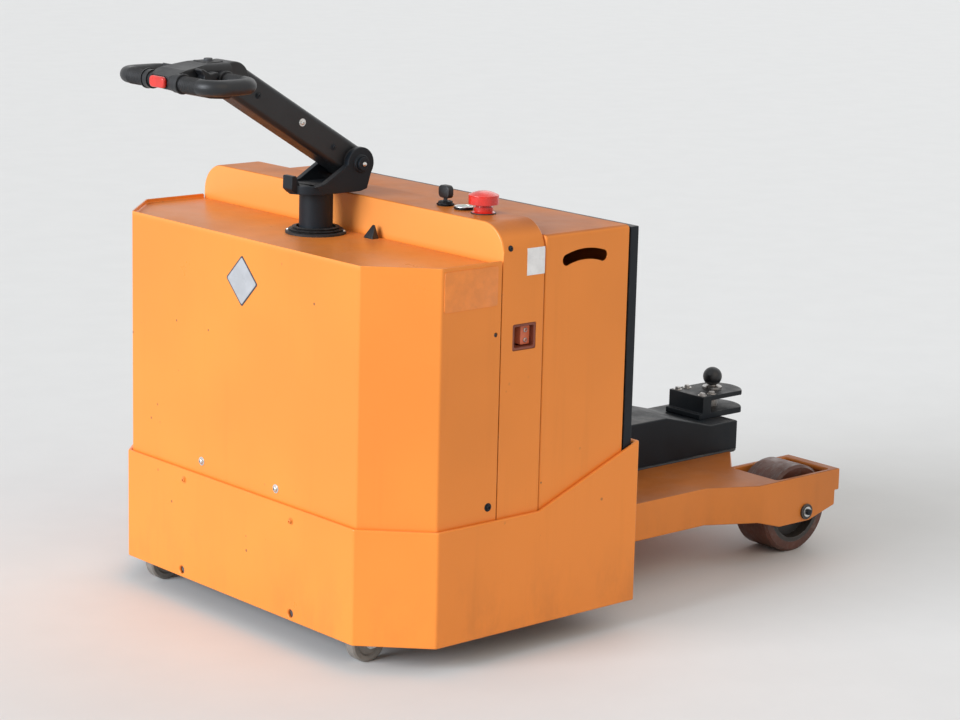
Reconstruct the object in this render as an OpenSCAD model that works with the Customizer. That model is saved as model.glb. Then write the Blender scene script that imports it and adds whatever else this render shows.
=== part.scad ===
// Walk-behind electric towing tractor for light aircraft.
// X runs forward to the tiller, Y to the left, Z up; the floor is z = 0.
// Lengths along X are given from the steering axis, which stands over the drive wheel.

/* [Body] */
// Width over the skirt
body_w = 900; // [860:10:1000]
// Length of the body ahead of the steering axis
nose_len = 180; // [176:1:230]
// Vertical chamfer on both front corners of the skirt
corner_cut = 105; // [60:5:120]
// Thickness of the skirt plate
skirt_t = 8; // [6:0.5:12]
// Height of the skirt's lower edge above the floor
skirt_z = 47; // [35:1:60]
// Depth by which the skirt reaches up over the foot of the covers
seam_lap = 10; // [5:1:30]
// Rise of the skirt's upper edge from the console to the rear
seam_rise = 95; // [60:1:120]
// Depth of the skirt's inward return at the rear
skirt_return = 30; // [15:1:60]
// Skirt plate beyond the flanges of the rear bulkhead
skirt_tail = 14; // [8:1:60]
// Radius of the two lashing holes in the skirt's front
lash_r = 7; // [5:0.5:9]
// Lashing holes from the centre line
lash_y = 168; // [150:1:185]

/* [Covers] */
// Thickness of the cover sheet
cover_t = 3; // [2:0.5:5]
// Gap between a cover and the skirt plate
cover_fit = 0.5; // [0.3:0.1:0.9]
// Gap between one cover and the next
panel_gap = 2; // [1:0.5:4]
// Height of the rim round the front cover's tray
front_cover_z = 720; // [690:5:740]
// Depth of the tray in the front cover
tray_depth = 8; // [4:1:20]
// Steering axis back to the console's front wall
console_front = 65; // [60:1:75]
// Length of the console along X
console_len = 100; // [90:1:115]
// Rise of the console above the tray's rim
console_rise = 62; // [45:1:70]
// Radius of the console's shoulders
console_bend = 55; // [10:1:58]
// Rise of the battery cover above the tray's rim
battery_rise = 35; // [10:1:45]
// Radius of the battery cover's upper edges
battery_bend = 8; // [5:1:20]
// Length of the battery cover along X
battery_cover_len = 205; // [190:1:240]
// Width of the arched hand slot
hand_slot_w = 108; // [90:1:130]
// Height of the hand slot
hand_slot_h = 20; // [15:1:30]
// Radius of the hand slot's upper edge
hand_slot_arch = 150; // [110:5:250]
// Top of the hand slot below the battery cover's top
hand_slot_drop = 32; // [25:1:60]
// Radius of the lock's hole in the front cover's left side
lock_r = 4; // [3:0.5:8]

/* [Chassis] */
// Thickness of the chassis plate
plate_t = 12; // [8:1:16]
// Width of the side rails that carry the battery cover
rail_w = 50; // [30:1:70]
// Crossmember's rear face ahead of the console's rear wall
crossmember_inset = 15; // [12:1:20]
// Lower edge of the crossmember
crossmember_z = 60; // [50:1:80]
// Radius of the cable holes through the crossmember
cable_hole_r = 26; // [15:1:32]
// Reach of the gussets under the chassis plate
gusset_len = 60; // [30:5:80]
// Width of the box that carries a caster
tower_w = 80; // [78:1:96]
// Thickness of the rear bulkhead
bulkhead_t = 6; // [4:0.5:10]
// Depth of the bulkhead's flanges
bulkhead_flange = 20; // [12:1:24]

/* [Wheel frame] */
// Half width of the frame at its neck
neck_half = 278; // [260:1:290]
// Half width of the frame over the load wheels
fork_half = 330; // [315:1:345]
// Height of the frame's top plate
deck_z = 165; // [150:1:175]
// Thickness of the top plate
deck_t = 10; // [6:1:12]
// Thickness of the side plates
frame_t = 12; // [8:1:14]
// Lower edge of the neck's side plates
neck_z = 88; // [80:1:110]
// Lower edge of the forks below the load wheel axle
fork_z = 69; // [60:1:74]
// Lower edge of the forks at their rear end
tail_z = 90; // [75:1:110]
// Length over which the frame widens
flare_len = 100; // [60:5:130]
// Full width starts this far ahead of the load wheel axle
fork_lead = 140; // [125:1:160]
// Frame behind the load wheel axle
fork_tail = 100; // [95:1:130]
// Root of the gap between the forks ahead of the load wheel axle
gap_lead = 70; // [50:1:80]
// Half width of the tongue between the forks
tongue_half = 100; // [90:1:125]
// Gap between a load wheel and the end of its slot in the top plate
slot_gap = 15; // [8:1:25]
// Radius of the slot's corners
slot_corner = 6; // [3:1:12]
// Depth of the lip behind each load wheel
lip_h = 40; // [20:1:55]
// Depth of the ribs under the top plate
rib_h = 40; // [20:1:60]

/* [Load wheels] */
// Steering axis to the load wheel axle
wheelbase = 1010; // [1005:1:1040]
// Radius of a load wheel
load_r = 90; // [80:1:92]
// Width of a load wheel
load_w = 88; // [70:1:95]
// Gap between a load wheel and the plate on either side
load_side_gap = 15.5; // [8:0.5:20]
// Thickness of the load wheel's tyre
load_tyre_t = 20; // [12:1:30]
// Radius of the load wheel axle
load_axle_r = 12; // [9:0.5:14]
// Depth of the recess in each face of the hub
load_dish = 22; // [8:1:30]

/* [Drive unit] */
// Radius of the drive wheel
drive_r = 115; // [105:1:120]
// Width of the drive wheel
drive_w = 76; // [60:1:80]
// Thickness of the drive wheel's tyre
drive_tyre_t = 35; // [20:1:40]
// Radius of the drive axle
drive_axle_r = 20; // [15:1:26]
// Free height over the drive wheel
wheel_crown = 4; // [3:0.5:8]
// Gap between the drive wheel and its gearbox
gearbox_gap = 8; // [6:1:12]
// Thickness of the gearbox beside the wheel
gearbox_t = 46; // [35:1:50]
// Radius of the gearbox round the drive axle
gearbox_r = 52; // [45:1:60]
// Radius of the steering bearing's bore
bearing_r = 118; // [114:1:122]
// Width of the steering bearing's ring
bearing_ring = 42; // [30:1:50]
// Radius of the drive motor
motor_r = 88; // [70:1:95]
// Height of the drive motor
motor_h = 250; // [200:5:300]

/* [Casters] */
// Swivel axis behind the front face of the skirt
caster_setback = 85; // [82:1:95]
// Swivel axis from the skirt's side
caster_inset = 140; // [135:1:160]
// Radius of a caster wheel
caster_r = 37.5; // [32:0.5:38]
// Width of a caster wheel
caster_w = 24; // [18:1:26]
// Trail of a caster wheel behind its swivel axis
caster_trail = 25; // [18:1:26]
// Height of a caster's mounting face above its wheel
caster_head_h = 45; // [40:1:55]
// Thickness of the fork's sheet
caster_sheet = 4; // [3:0.5:5]

/* [Drawbar] */
// Half width of the drawbar box
drawbar_half = 95; // [80:1:110]
// Rise of the drawbar box above the top plate at its front
drawbar_rise = 97; // [80:1:115]
// Rise of the seat under the hitch jaw above the top plate
hitch_rise = 63; // [50:1:75]
// Length of the drawbar box's slope
drawbar_slope = 130; // [90:5:160]
// Thickness of the drawbar box's plates
drawbar_t = 8; // [6:0.5:12]
// Drawbar box behind the load wheel axle
drawbar_tail = 40; // [20:1:60]
// Hitch pin behind the drawbar box
pin_overhang = 18; // [18:1:30]
// Radius of the hitch pin
pin_r = 12.5; // [10:0.5:14]
// Jaw plate beyond the hitch pin's axis
jaw_nose = 63; // [50:1:80]
// Depth of the jaw ahead of the hitch pin's axis
jaw_throat = 62; // [50:1:80]
// Width of the hitch jaw
jaw_w = 100; // [90:1:120]
// Thickness of the web between the jaw plates
jaw_web_t = 16; // [12:1:24]
// Thickness of the lower jaw plate
jaw_low_t = 12; // [10:1:16]
// Thickness of the upper jaw plate
jaw_top_t = 10; // [8:1:14]
// Free height between the jaw plates
jaw_gap = 26; // [22:1:32]
// Radius of the hitch pin's ball knob
knob_r = 20; // [15:1:24]

/* [Tiller] */
// Radius of the tiller column
column_r = 31; // [26:1:36]
// Gap between the console and the yoke that turns over it
yoke_gap = 6; // [5:0.5:12]
// Tilt pivot above the yoke's underside
pivot_rise = 51; // [48:1:60]
// Steering axis back to the tilt pivot
pivot_back = 69; // [60:1:75]
// Radius of the pivot pin
pivot_r = 8; // [6:0.5:10]
// Thickness of the yoke's cheeks
yoke_cheek_t = 12; // [8:1:16]
// Gap between the arm and each cheek
yoke_side_gap = 2; // [1:0.5:4]
// Width of the tiller arm
arm_w = 60; // [50:1:64]
// Depth of the tiller arm
arm_h = 58; // [50:1:62]
// Radius of the arm's long edges
arm_edge = 9; // [4:1:14]
// Slope of the tiller arm as it stands
arm_slope = 31.4; // [25:0.1:36]
// Length of the arm from the pivot to the elbow
arm_len = 322; // [300:1:360]
// Radius of the elbow
elbow_r = 31; // [29:1:36]
// Width of the head's middle
head_w = 76; // [66:1:90]
// Length of the head beyond the elbow
head_len = 146; // [140:1:180]
// Width over both grips
grip_w = 300; // [270:5:340]
// Radius of the grip tube
grip_r = 14; // [12:0.5:16]
// Radius of the bend at each corner of the grips
grip_bend = 30; // [24:1:34]

/* [Controls] */
// Console controls: distance behind the console's front wall
control_back = 55; // [45:1:60]
// Emergency stop from the centre line
stop_y = 325; // [318:1:345]
// Key switch from the centre line
key_y = 222; // [205:1:230]
// Battery gauge from the centre line
gauge_y = 272; // [262:1:278]
// Radius of the emergency stop's mushroom
stop_r = 27; // [20:1:28]
// Radius of the battery gauge
gauge_r = 17; // [12:1:22]
// Width of the charging socket
socket_w = 55; // [45:1:60]
// Height of the charging socket
socket_h = 47; // [40:1:52]
// Height of the charging socket's centre
socket_z = 580; // [540:5:620]

/* [Hidden] */

// Running clearance of a shaft in its hole, and the gap of pieces that turn past each other
shaft_fit = 0.05;
seat_gap = 0.3;
// Free room round a column or a lever that moves
swing_gap = 5.5;
// Overshoot of a cutting tool past the face it cuts
over = 1;
LEFT = 1;
RIGHT = -1;

orange = "#F5822A";
black = "#1D1E20";
steel = "#9A9EA3";
dark_steel = "#55585C";
rubber = "#2A2A2C";
urethane = "#7A3A22";
pale_urethane = "#B8B2A6";
red = "#C8201C";

$fn = 96;

// The origin is on the floor below the middle of the whole length
pin_reach = wheelbase + drawbar_tail + pin_overhang;
head_tip = arm_len * cos(arm_slope) - pivot_back + head_len;
steer_x = (pin_reach + jaw_nose - head_tip) / 2;

// Body and covers
skirt_inner = body_w / 2 - skirt_t;
cover_half = skirt_inner - cover_fit;
console_rear = console_front + console_len;
battery_rear = console_rear + battery_cover_len;
bulkhead_x = battery_rear + panel_gap;
skirt_reach = bulkhead_x + bulkhead_flange + skirt_tail;
crossmember_reach = console_rear - crossmember_inset;
tray_z = front_cover_z - tray_depth;
console_z = front_cover_z + console_rise;
battery_cover_z = front_cover_z + battery_rise;
control_x = console_front + control_back;
hole_edge = 20;

// The chassis plate lies over the drive wheel and the disc that carries it
disc_play = 2;
plate_z = 2 * drive_r + wheel_crown + disc_play + plate_t;
seam_z = plate_z + seam_lap;

// Wheel frame and forks
flare_reach = wheelbase - fork_lead;
neck_reach = flare_reach - flare_len;
frame_reach = wheelbase + fork_tail;
gap_reach = wheelbase - gap_lead;
fork_room = load_w + 2 * load_side_gap;
fork_inner = fork_half - 2 * frame_t - fork_room;
fork_mid = fork_half - frame_t - fork_room / 2;

// Puts what is drawn about the steering axis into the part's own frame
module placed() {
    translate([steer_x, 0, 0]) children();
}

// Extrudes an outline of [x, z] points along Y, centred, to the given width
module across(width) {
    rotate([90, 0, 0]) linear_extrude(width, center = true) children();
}

// Extrudes an outline of [y, z] points along X, from x0 to x1
module along(x0, x1) {
    translate([x0, 0, 0]) rotate([90, 0, 90]) linear_extrude(x1 - x0) children();
}

// Mirrors what is drawn for the left side where the right side is asked for
module on_side(side) {
    mirror([0, side < 0 ? 1 : 0, 0]) children();
}

// A cylinder across the machine between two values of y
module cross_rod(r, y0, y1) {
    translate([0, y0, 0]) rotate([-90, 0, 0]) cylinder(r = r, h = y1 - y0);
}

// A rectangle with round corners, centred
module round_rect(w, h, r) {
    square([w - 2 * r, h], center = true);
    square([w, h - 2 * r], center = true);
    for (x = [-1, 1], y = [-1, 1])
        translate([x * (w / 2 - r), y * (h / 2 - r)]) circle(r = r);
}

// A drum across the machine with rounded rims
module drum(r, half, edge) {
    rotate([90, 0, 0]) rotate_extrude() difference() {
        translate([0, -half]) square([r, 2 * half]);
        for (s = [-1, 1]) difference() {
            translate([r - edge, s > 0 ? half - edge : -half]) square([edge + 1, edge]);
            translate([r - edge, s * (half - edge)]) circle(r = edge);
        }
    }
}

// A wheel's tyre about its own axis, with bevelled edges
module tyre_ring(r, r0, w, edge) {
    rotate([90, 0, 0]) rotate_extrude() polygon([
        [r0, -w / 2], [r - edge, -w / 2], [r, -w / 2 + edge],
        [r, w / 2 - edge], [r - edge, w / 2], [r0, w / 2]
    ]);
}

// Places copies on a circle about Z
module ring_of(count, radius, start = 0) {
    for (i = [0 : count - 1]) rotate([0, 0, start + i * 360 / count]) translate([radius, 0, 0]) children();
}

// A chamfer keeps its slope when its outline is moved inwards by t
function inset_cut(cut, t) = cut - (2 - sqrt(2)) * t;

// Plan of the body with both front corners cut, moved inwards by t
module body_plan(t, rear) {
    front = nose_len - t;
    half = body_w / 2 - t;
    cut = inset_cut(corner_cut, t);
    polygon([
        [-rear, -half], [front - cut, -half], [front, -half + cut],
        [front, half - cut], [front - cut, half], [-rear, half]
    ]);
}

// Section of a sheet cover with bent shoulders, moved inwards by t
module cover_section(top_z, bend, t) {
    half = cover_half - t;
    top = top_z - t;
    r = bend - t;
    difference() {
        translate([-half, plate_z - t]) square([2 * half, top - plate_z + t]);
        for (s = [-1, 1]) difference() {
            translate([s > 0 ? half - r : -half - over, top - r]) square([r + over, r + over]);
            translate([s * (half - r), top - r]) circle(r = r);
        }
    }
}

module chassis_skirt() {
    break_x = console_rear - 2 * panel_gap;
    top_z = seam_z + seam_rise;
    lash_z = skirt_z + 2 * lash_r;
    color(orange) difference() {
        translate([0, 0, skirt_z]) linear_extrude(top_z - skirt_z) body_plan(0, skirt_reach);
        translate([0, 0, skirt_z - over]) linear_extrude(top_z) difference() {
            body_plan(skirt_t, skirt_reach + over);
            for (side = [LEFT, RIGHT])
                translate([-skirt_reach, side * (skirt_inner - skirt_return / 2)])
                    square([2 * skirt_t, skirt_return], center = true);
        }
        across(body_w + 2 * over) polygon([
            [nose_len + over, seam_z], [-break_x, seam_z], [-skirt_reach, top_z], [-skirt_reach - over, top_z + over],
            [nose_len + over, top_z + over]
        ]);
        for (side = [LEFT, RIGHT])
            translate([nose_len - 2 * skirt_t, side * lash_y, lash_z]) rotate([0, 90, 0])
                cylinder(r = lash_r, h = 3 * skirt_t);
    }
}

caster_x = nose_len - caster_setback;
caster_y = body_w / 2 - caster_inset;
caster_z = 2 * caster_r + caster_head_h;

module chassis_plate() {
    tower_wall = frame_t / 2;
    under_z = plate_z - plate_t;
    color(black) difference() {
        union() {
            translate([0, 0, under_z]) linear_extrude(plate_t) difference() {
                body_plan(skirt_t, bulkhead_x);
                translate([-bulkhead_x - over, -skirt_inner + rail_w])
                    square([bulkhead_x + over - crossmember_reach, 2 * (skirt_inner - rail_w)]);
            }
            translate([-crossmember_reach, -skirt_inner, crossmember_z])
                cube([plate_t, 2 * skirt_inner, plate_z - plate_t / 2 - crossmember_z]);
            for (side = [LEFT, RIGHT]) {
                translate([caster_x - tower_w / 2, side * caster_y - tower_w / 2, caster_z])
                    cube([tower_w, tower_w, plate_z - plate_t / 2 - caster_z]);
                for (y = [bearing_r + 3 * gusset_len / 2, skirt_inner - plate_t])
                    translate([0, side * y, 0]) across(plate_t) polygon([
                        [-crossmember_reach + plate_t / 2, under_z + 1],
                        [-crossmember_reach + plate_t + gusset_len, under_z + 1],
                        [-crossmember_reach + plate_t + gusset_len, under_z - plate_t],
                        [-crossmember_reach + plate_t, under_z - 2 * gusset_len],
                        [-crossmember_reach + plate_t / 2, under_z - 2 * gusset_len]
                    ]);
            }
        }
        translate([0, 0, under_z - over]) cylinder(r = bearing_r + 7, h = plate_t + 2 * over);
        for (side = [LEFT, RIGHT]) {
            translate([caster_x - tower_w / 2 + tower_wall, side * caster_y - tower_w / 2 + tower_wall,
                       caster_z + frame_t])
                cube([tower_w - 2 * tower_wall, tower_w - 2 * tower_wall, under_z - frame_t - caster_z]);
            translate([-crossmember_reach - over, side * bearing_r, deck_z + cable_hole_r + plate_t])
                rotate([0, 90, 0]) cylinder(r = cable_hole_r, h = plate_t + 2 * over);
        }
    }
}

// Plan of the wheel frame's left half, moved inwards by t
module frame_half_plan(t) {
    tongue_reach = gap_reach + fork_inner - tongue_half;
    polygon([
        [-crossmember_reach, 0], [-crossmember_reach, neck_half - t],
        [-neck_reach, neck_half - t], [-flare_reach, fork_half - t],
        [-frame_reach, fork_half - t], [-frame_reach, fork_inner],
        [-gap_reach, fork_inner], [-tongue_reach, tongue_half], [-tongue_reach, 0]
    ]);
}

// Half the length of the opening that the load wheel needs where it passes the top plate
wheel_drop = deck_z - deck_t - load_r;
slot_half = sqrt(max(0, load_r * load_r - wheel_drop * wheel_drop)) + slot_gap;

module wheel_frame() {
    color(orange) difference() {
        union() {
            for (side = [LEFT, RIGHT]) on_side(side) frame_half();
            for (x = [(crossmember_reach + bulkhead_x) / 2, (bulkhead_x + neck_reach) / 2, neck_reach - frame_t])
                translate([-x, -neck_half + frame_t / 2, deck_z - deck_t - rib_h])
                    cube([frame_t, 2 * neck_half - frame_t, rib_h + deck_t / 2]);
        }
        translate([-wheelbase, 0, load_r]) for (side = [LEFT, RIGHT])
            cross_rod(load_axle_r + shaft_fit, side > 0 ? fork_inner - over : -fork_half - over,
                      side > 0 ? fork_half + over : -fork_inner + over);
        for (side = [LEFT, RIGHT])
            translate([-wheelbase, side * fork_mid, deck_z - deck_t - over]) linear_extrude(deck_t + 2 * over)
                round_rect(2 * slot_half, fork_room, slot_corner);
    }

    module frame_half() {
        wheel_room = wheelbase - load_r - slot_gap;
        translate([0, 0, deck_z - deck_t]) linear_extrude(deck_t) frame_half_plan(0);
        intersection() {
            linear_extrude(deck_z - deck_t / 2) union() {
                difference() {
                    frame_half_plan(0);
                    difference() {
                        frame_half_plan(frame_t);
                        translate([-frame_reach, 0]) square([frame_t, 2 * fork_half]);
                    }
                    translate([-frame_reach - over, -over])
                        square([frame_reach + 2 * over, fork_inner + over]);
                }
                translate([-frame_reach, fork_inner]) square([frame_reach - neck_reach, frame_t]);
                translate([-wheel_room, fork_inner + frame_t / 2]) square([frame_t, fork_half - fork_inner - frame_t]);
            }
            across(4 * body_w) polygon([
                [-crossmember_reach, deck_z], [-crossmember_reach, neck_z], [-flare_reach, neck_z],
                [-wheelbase + load_r - slot_gap, fork_z], [-wheelbase - load_axle_r, fork_z],
                [-frame_reach + frame_t, tail_z], [-frame_reach + frame_t, deck_z]
            ]);
        }
        translate([-frame_reach, fork_inner, deck_z - deck_t / 2 - lip_h])
            cube([frame_t, fork_half - fork_inner, lip_h]);
    }
}

module rear_bulkhead() {
    top_z = battery_cover_z - cover_t - over;
    color(black) difference() {
        translate([-bulkhead_x - bulkhead_flange, -skirt_inner, crossmember_z])
            cube([bulkhead_flange, 2 * skirt_inner, top_z - crossmember_z]);
        translate([-bulkhead_x - bulkhead_flange - over, -skirt_inner + bulkhead_t, crossmember_z - over])
            cube([bulkhead_flange + over - bulkhead_t, 2 * (skirt_inner - bulkhead_t),
                  top_z - crossmember_z - bulkhead_t + over]);
        translate([-bulkhead_x - bulkhead_flange - over, -neck_half, 0])
            cube([bulkhead_flange + 2 * over, 2 * neck_half, deck_z]);
        for (side = [LEFT, RIGHT])
            translate([-bulkhead_x - bulkhead_flange - over, side * (neck_half - cable_hole_r),
                       deck_z + cable_hole_r + plate_t])
                rotate([0, 90, 0]) cylinder(r = cable_hole_r / 2, h = bulkhead_flange + 2 * over);
    }
}

module front_cover() {
    outer = skirt_t + cover_fit;
    rear = console_front - panel_gap / 2;
    lock_x = console_front - 12;
    lock_z = (plate_z + 2 * front_cover_z) / 3 + 28;
    color(orange) difference() {
        translate([0, 0, plate_z]) linear_extrude(front_cover_z - plate_z) body_plan(outer, rear);
        translate([0, 0, plate_z - over]) linear_extrude(tray_z - cover_t - plate_z + over)
            body_plan(outer + cover_t, console_front + over);
        translate([0, 0, tray_z]) linear_extrude(tray_depth + over)
            body_plan(outer + cover_t, console_front + over);
        translate([0, 0, tray_z - cover_t - over]) cylinder(r = column_r + hole_edge, h = cover_t + 2 * over);
        translate([-lock_x, 0, lock_z]) cross_rod(lock_r, cover_half - 2 * cover_t, cover_half + over);
    }
}

module console_cover() {
    x_rear = -console_rear + panel_gap / 2;
    x_front = -console_front - panel_gap / 2;
    foot_z = tray_z - 4 * cover_t;
    color(orange) difference() {
        along(x_rear, x_front) cover_section(console_z, console_bend, 0);
        along(x_rear + cover_t, x_front - cover_t) cover_section(console_z, console_bend, cover_t);
        translate([x_rear - over, -cover_half + cover_t, plate_z - over])
            cube([console_len + 2 * over, 2 * (cover_half - cover_t), foot_z - plate_z]);
        translate([-control_x, cover_half, socket_z]) rotate([90, 0, 0])
            linear_extrude(4 * cover_t, center = true) round_rect(socket_w, socket_h, cover_t);
    }
}

module battery_cover() {
    x_rear = -battery_rear;
    x_front = -console_rear - panel_gap / 2;
    slot_mid = (x_rear + x_front) / 2 + 7;
    color(orange) difference() {
        along(x_rear, x_front) cover_section(battery_cover_z, battery_bend, 0);
        along(x_rear + cover_t, x_front - cover_t) cover_section(battery_cover_z, battery_bend, cover_t);
        translate([slot_mid, 0, battery_cover_z - hand_slot_drop - hand_slot_arch])
            across(body_w) arched_slot();
    }

    // A band of a ring with round ends, about the arch's centre
    module arched_slot() {
        mid_r = hand_slot_arch - hand_slot_h / 2;
        spread = asin((hand_slot_w - hand_slot_h) / 2 / mid_r);
        reach = 2 * hand_slot_arch;
        end_r = hand_slot_h / 2 + 0.25;
        intersection() {
            difference() {
                circle(r = hand_slot_arch);
                circle(r = hand_slot_arch - hand_slot_h);
            }
            polygon([[0, 0], [-reach * sin(spread), reach * cos(spread)], [reach * sin(spread), reach * cos(spread)]]);
        }
        for (s = [-1, 1]) translate([s * mid_r * sin(spread), mid_r * cos(spread)]) circle(r = end_r);
    }
}

module battery_pack() {
    end_gap = 10;
    half = skirt_inner - 2 * rail_w - 32;
    top_z = battery_cover_z - 115;
    color(dark_steel)
        translate([-battery_rear + end_gap, -half, deck_z])
            cube([battery_cover_len - 2 * end_gap, 2 * half, top_z - deck_z]);
}

hitch_seat_z = deck_z + hitch_rise;
web_reach = pin_reach - jaw_throat - jaw_web_t;
jaw_tail = 9;

module drawbar_box() {
    front = bulkhead_x + bulkhead_t;
    seat_front = web_reach - jaw_tail - 11;
    drawbar_z = deck_z + drawbar_rise;
    rear = pin_reach - pin_overhang;
    color(black) difference() {
        across(2 * drawbar_half) box_side(0);
        translate([0, 0, -over]) across(2 * (drawbar_half - drawbar_t)) box_side(drawbar_t);
    }

    module box_side(t) {
        polygon([
            [-front - t, deck_z], [-front - t, drawbar_z - t], [-seat_front + drawbar_slope, drawbar_z - t],
            [-seat_front, hitch_seat_z - t], [-rear + t, hitch_seat_z - t], [-rear + t, deck_z]
        ]);
    }
}

jaw_low_z = hitch_seat_z + jaw_low_t;
jaw_top_z = jaw_low_z + jaw_gap;
jaw_z = jaw_top_z + jaw_top_t;

module hitch_jaw() {
    rib_t = 10;
    color(black) difference() {
        union() {
            translate([0, 0, hitch_seat_z]) linear_extrude(jaw_low_t) jaw_plan(web_reach - jaw_tail);
            translate([0, 0, jaw_top_z]) linear_extrude(jaw_top_t) jaw_plan(web_reach);
            translate([-web_reach - jaw_web_t, -jaw_w / 2, hitch_seat_z])
                cube([jaw_web_t, jaw_w, jaw_z - hitch_seat_z]);
            for (s = [-1, 1]) translate([0, s * (jaw_w / 2 - rib_t / 2), 0]) across(rib_t) polygon([
                [-web_reach - jaw_web_t + 1, jaw_low_z - 1], [-web_reach - jaw_web_t + 1, jaw_top_z + 1],
                [-web_reach - jaw_web_t - rib_t, jaw_top_z + 1], [-web_reach - jaw_web_t - rib_t, jaw_low_z - 1]
            ]);
        }
        translate([-pin_reach, 0, hitch_seat_z - over])
            cylinder(r = pin_r + 0.1, h = jaw_z - hitch_seat_z + 2 * over);
    }

    // The jaw plates end in a wide arc about the hitch pin
    module jaw_plan(front) {
        intersection() {
            translate([-pin_reach - jaw_nose, -jaw_w / 2]) square([pin_reach + jaw_nose - front, jaw_w]);
            union() {
                translate([-pin_reach, 0]) circle(r = jaw_nose);
                translate([-pin_reach, -jaw_w]) square([pin_reach, 2 * jaw_w]);
            }
        }
    }
}

module hitch_pin() {
    tail = 6;
    collar_t = 5;
    neck = 4;
    knob_z = jaw_z + seat_gap + collar_t + neck + knob_r - 3;
    point = pin_r / 3;
    color(steel) translate([-pin_reach, 0, 0]) {
        rotate_extrude() polygon([
            [0, hitch_seat_z - tail], [pin_r - point, hitch_seat_z - tail], [pin_r, hitch_seat_z - tail + point],
            [pin_r, jaw_z + seat_gap], [pin_r + 8, jaw_z + seat_gap], [pin_r + 8, jaw_z + seat_gap + collar_t],
            [pin_r - 4, jaw_z + seat_gap + collar_t + 2], [pin_r - 4, knob_z], [0, knob_z]
        ]);
        translate([0, 0, knob_z]) sphere(r = knob_r);
    }
}

module load_axle(side) {
    head_r = load_axle_r + 4;
    head_t = 5;
    nut_t = 8;
    color(steel) translate([-wheelbase, 0, load_r]) on_side(side) {
        cross_rod(load_axle_r, fork_inner - head_t, fork_half + head_t);
        cross_rod(head_r, fork_half, fork_half + head_t);
        cross_rod(head_r, fork_inner - head_t, fork_inner);
        translate([0, fork_inner - head_t - nut_t, 0]) rotate([-90, 0, 0]) cylinder(r = load_axle_r, h = nut_t + 1, $fn = 6);
    }
}

module load_hub(side) {
    rim_r = load_r - load_tyre_t;
    boss_r = load_axle_r + 14;
    color(dark_steel) translate([-wheelbase, side * fork_mid, load_r]) difference() {
        union() {
            cross_rod(rim_r, -load_w / 2, load_w / 2);
            cross_rod(boss_r, -fork_room / 2 + seat_gap, fork_room / 2 - seat_gap);
        }
        cross_rod(load_axle_r + shaft_fit, -fork_room, fork_room);
        for (s = [-1, 1]) difference() {
            cross_rod(rim_r - 9, s > 0 ? load_w / 2 - load_dish : -load_w / 2 - over,
                      s > 0 ? load_w / 2 + over : -load_w / 2 + load_dish);
            cross_rod(boss_r, -load_w, load_w);
        }
    }
}

module load_tyre(side) {
    color(urethane) translate([-wheelbase, side * fork_mid, load_r])
        tyre_ring(load_r, load_r - load_tyre_t, load_w, load_tyre_t / 4);
}

bearing_h = 20;
disc_h = plate_t + 2 * disc_play;

module steering_bearing() {
    outer = bearing_r + bearing_ring;
    bevel = 2;
    bolt_r = 8;
    color(steel) translate([0, 0, plate_z]) {
        rotate_extrude() polygon([
            [bearing_r + shaft_fit, 0], [outer, 0], [outer, bearing_h - bevel], [outer - bevel, bearing_h],
            [bearing_r + shaft_fit, bearing_h]
        ]);
        ring_of(8, outer - bearing_ring / 3, 22.5) translate([0, 0, bearing_h - 1]) cylinder(r = bolt_r, h = bolt_r + 1, $fn = 6);
    }
}

module drive_head() {
    washer_t = 5;
    wheel_half = drive_w / 2;
    y0 = wheel_half + gearbox_gap;
    y1 = y0 + gearbox_t;
    cap_r = gearbox_r - 10;
    cap_t = 8;
    color(dark_steel) {
        translate([0, 0, plate_z - plate_t - disc_play]) cylinder(r = bearing_r - 8, h = disc_h);
        translate([0, 0, plate_z + disc_play / 2]) cylinder(r = bearing_r, h = bearing_h);
        translate([-gearbox_r, y0, drive_r]) cube([2 * gearbox_r, gearbox_t, plate_z - plate_t - drive_r]);
        translate([0, 0, drive_r]) {
            drum_at(gearbox_r, y0, y1, 6);
            cross_rod(cap_r, y1 - over, y1 + cap_t);
            rotate([-90, 0, 0]) ring_of(6, cap_r - 9, 30) translate([0, 0, y1 + cap_t - 1]) cylinder(r = 5, h = 5, $fn = 6);
            cross_rod(drive_axle_r, -wheel_half - washer_t - 3, y0 + over);
            cross_rod(drive_axle_r + 10, -wheel_half - washer_t - 3, -wheel_half - 3);
            translate([0, -wheel_half - washer_t - 3 - 10, 0]) rotate([-90, 0, 0])
                cylinder(r = drive_axle_r, h = 11, $fn = 6);
        }
    }

    // A drum between two values of y
    module drum_at(r, a, b, edge) {
        translate([0, (a + b) / 2, 0]) drum(r, (b - a) / 2, edge);
    }
}

motor_z = plate_z + disc_play / 2 + bearing_h;
brake_h = 40;

module drive_motor() {
    flange_t = 16;
    bevel = 6;
    color(black) translate([0, 0, motor_z]) rotate_extrude() polygon([
        [0, 0], [motor_r + 10, 0], [motor_r + 10, flange_t], [motor_r, flange_t + 4],
        [motor_r, motor_h - bevel], [motor_r - bevel, motor_h], [motor_r - 28, motor_h],
        [motor_r - 28, motor_h + brake_h - bevel], [motor_r - 28 - bevel, motor_h + brake_h], [0, motor_h + brake_h]
    ]);
}

module drive_hub() {
    rim_r = drive_r - drive_tyre_t;
    boss_r = drive_axle_r + 16;
    dish = 20;
    color(dark_steel) translate([0, 0, drive_r]) difference() {
        cross_rod(rim_r, -drive_w / 2, drive_w / 2);
        cross_rod(drive_axle_r + shaft_fit, -drive_w, drive_w);
        difference() {
            cross_rod(rim_r - 10, -drive_w / 2 - over, -drive_w / 2 + dish);
            cross_rod(boss_r, -drive_w, drive_w);
        }
    }
}

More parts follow.
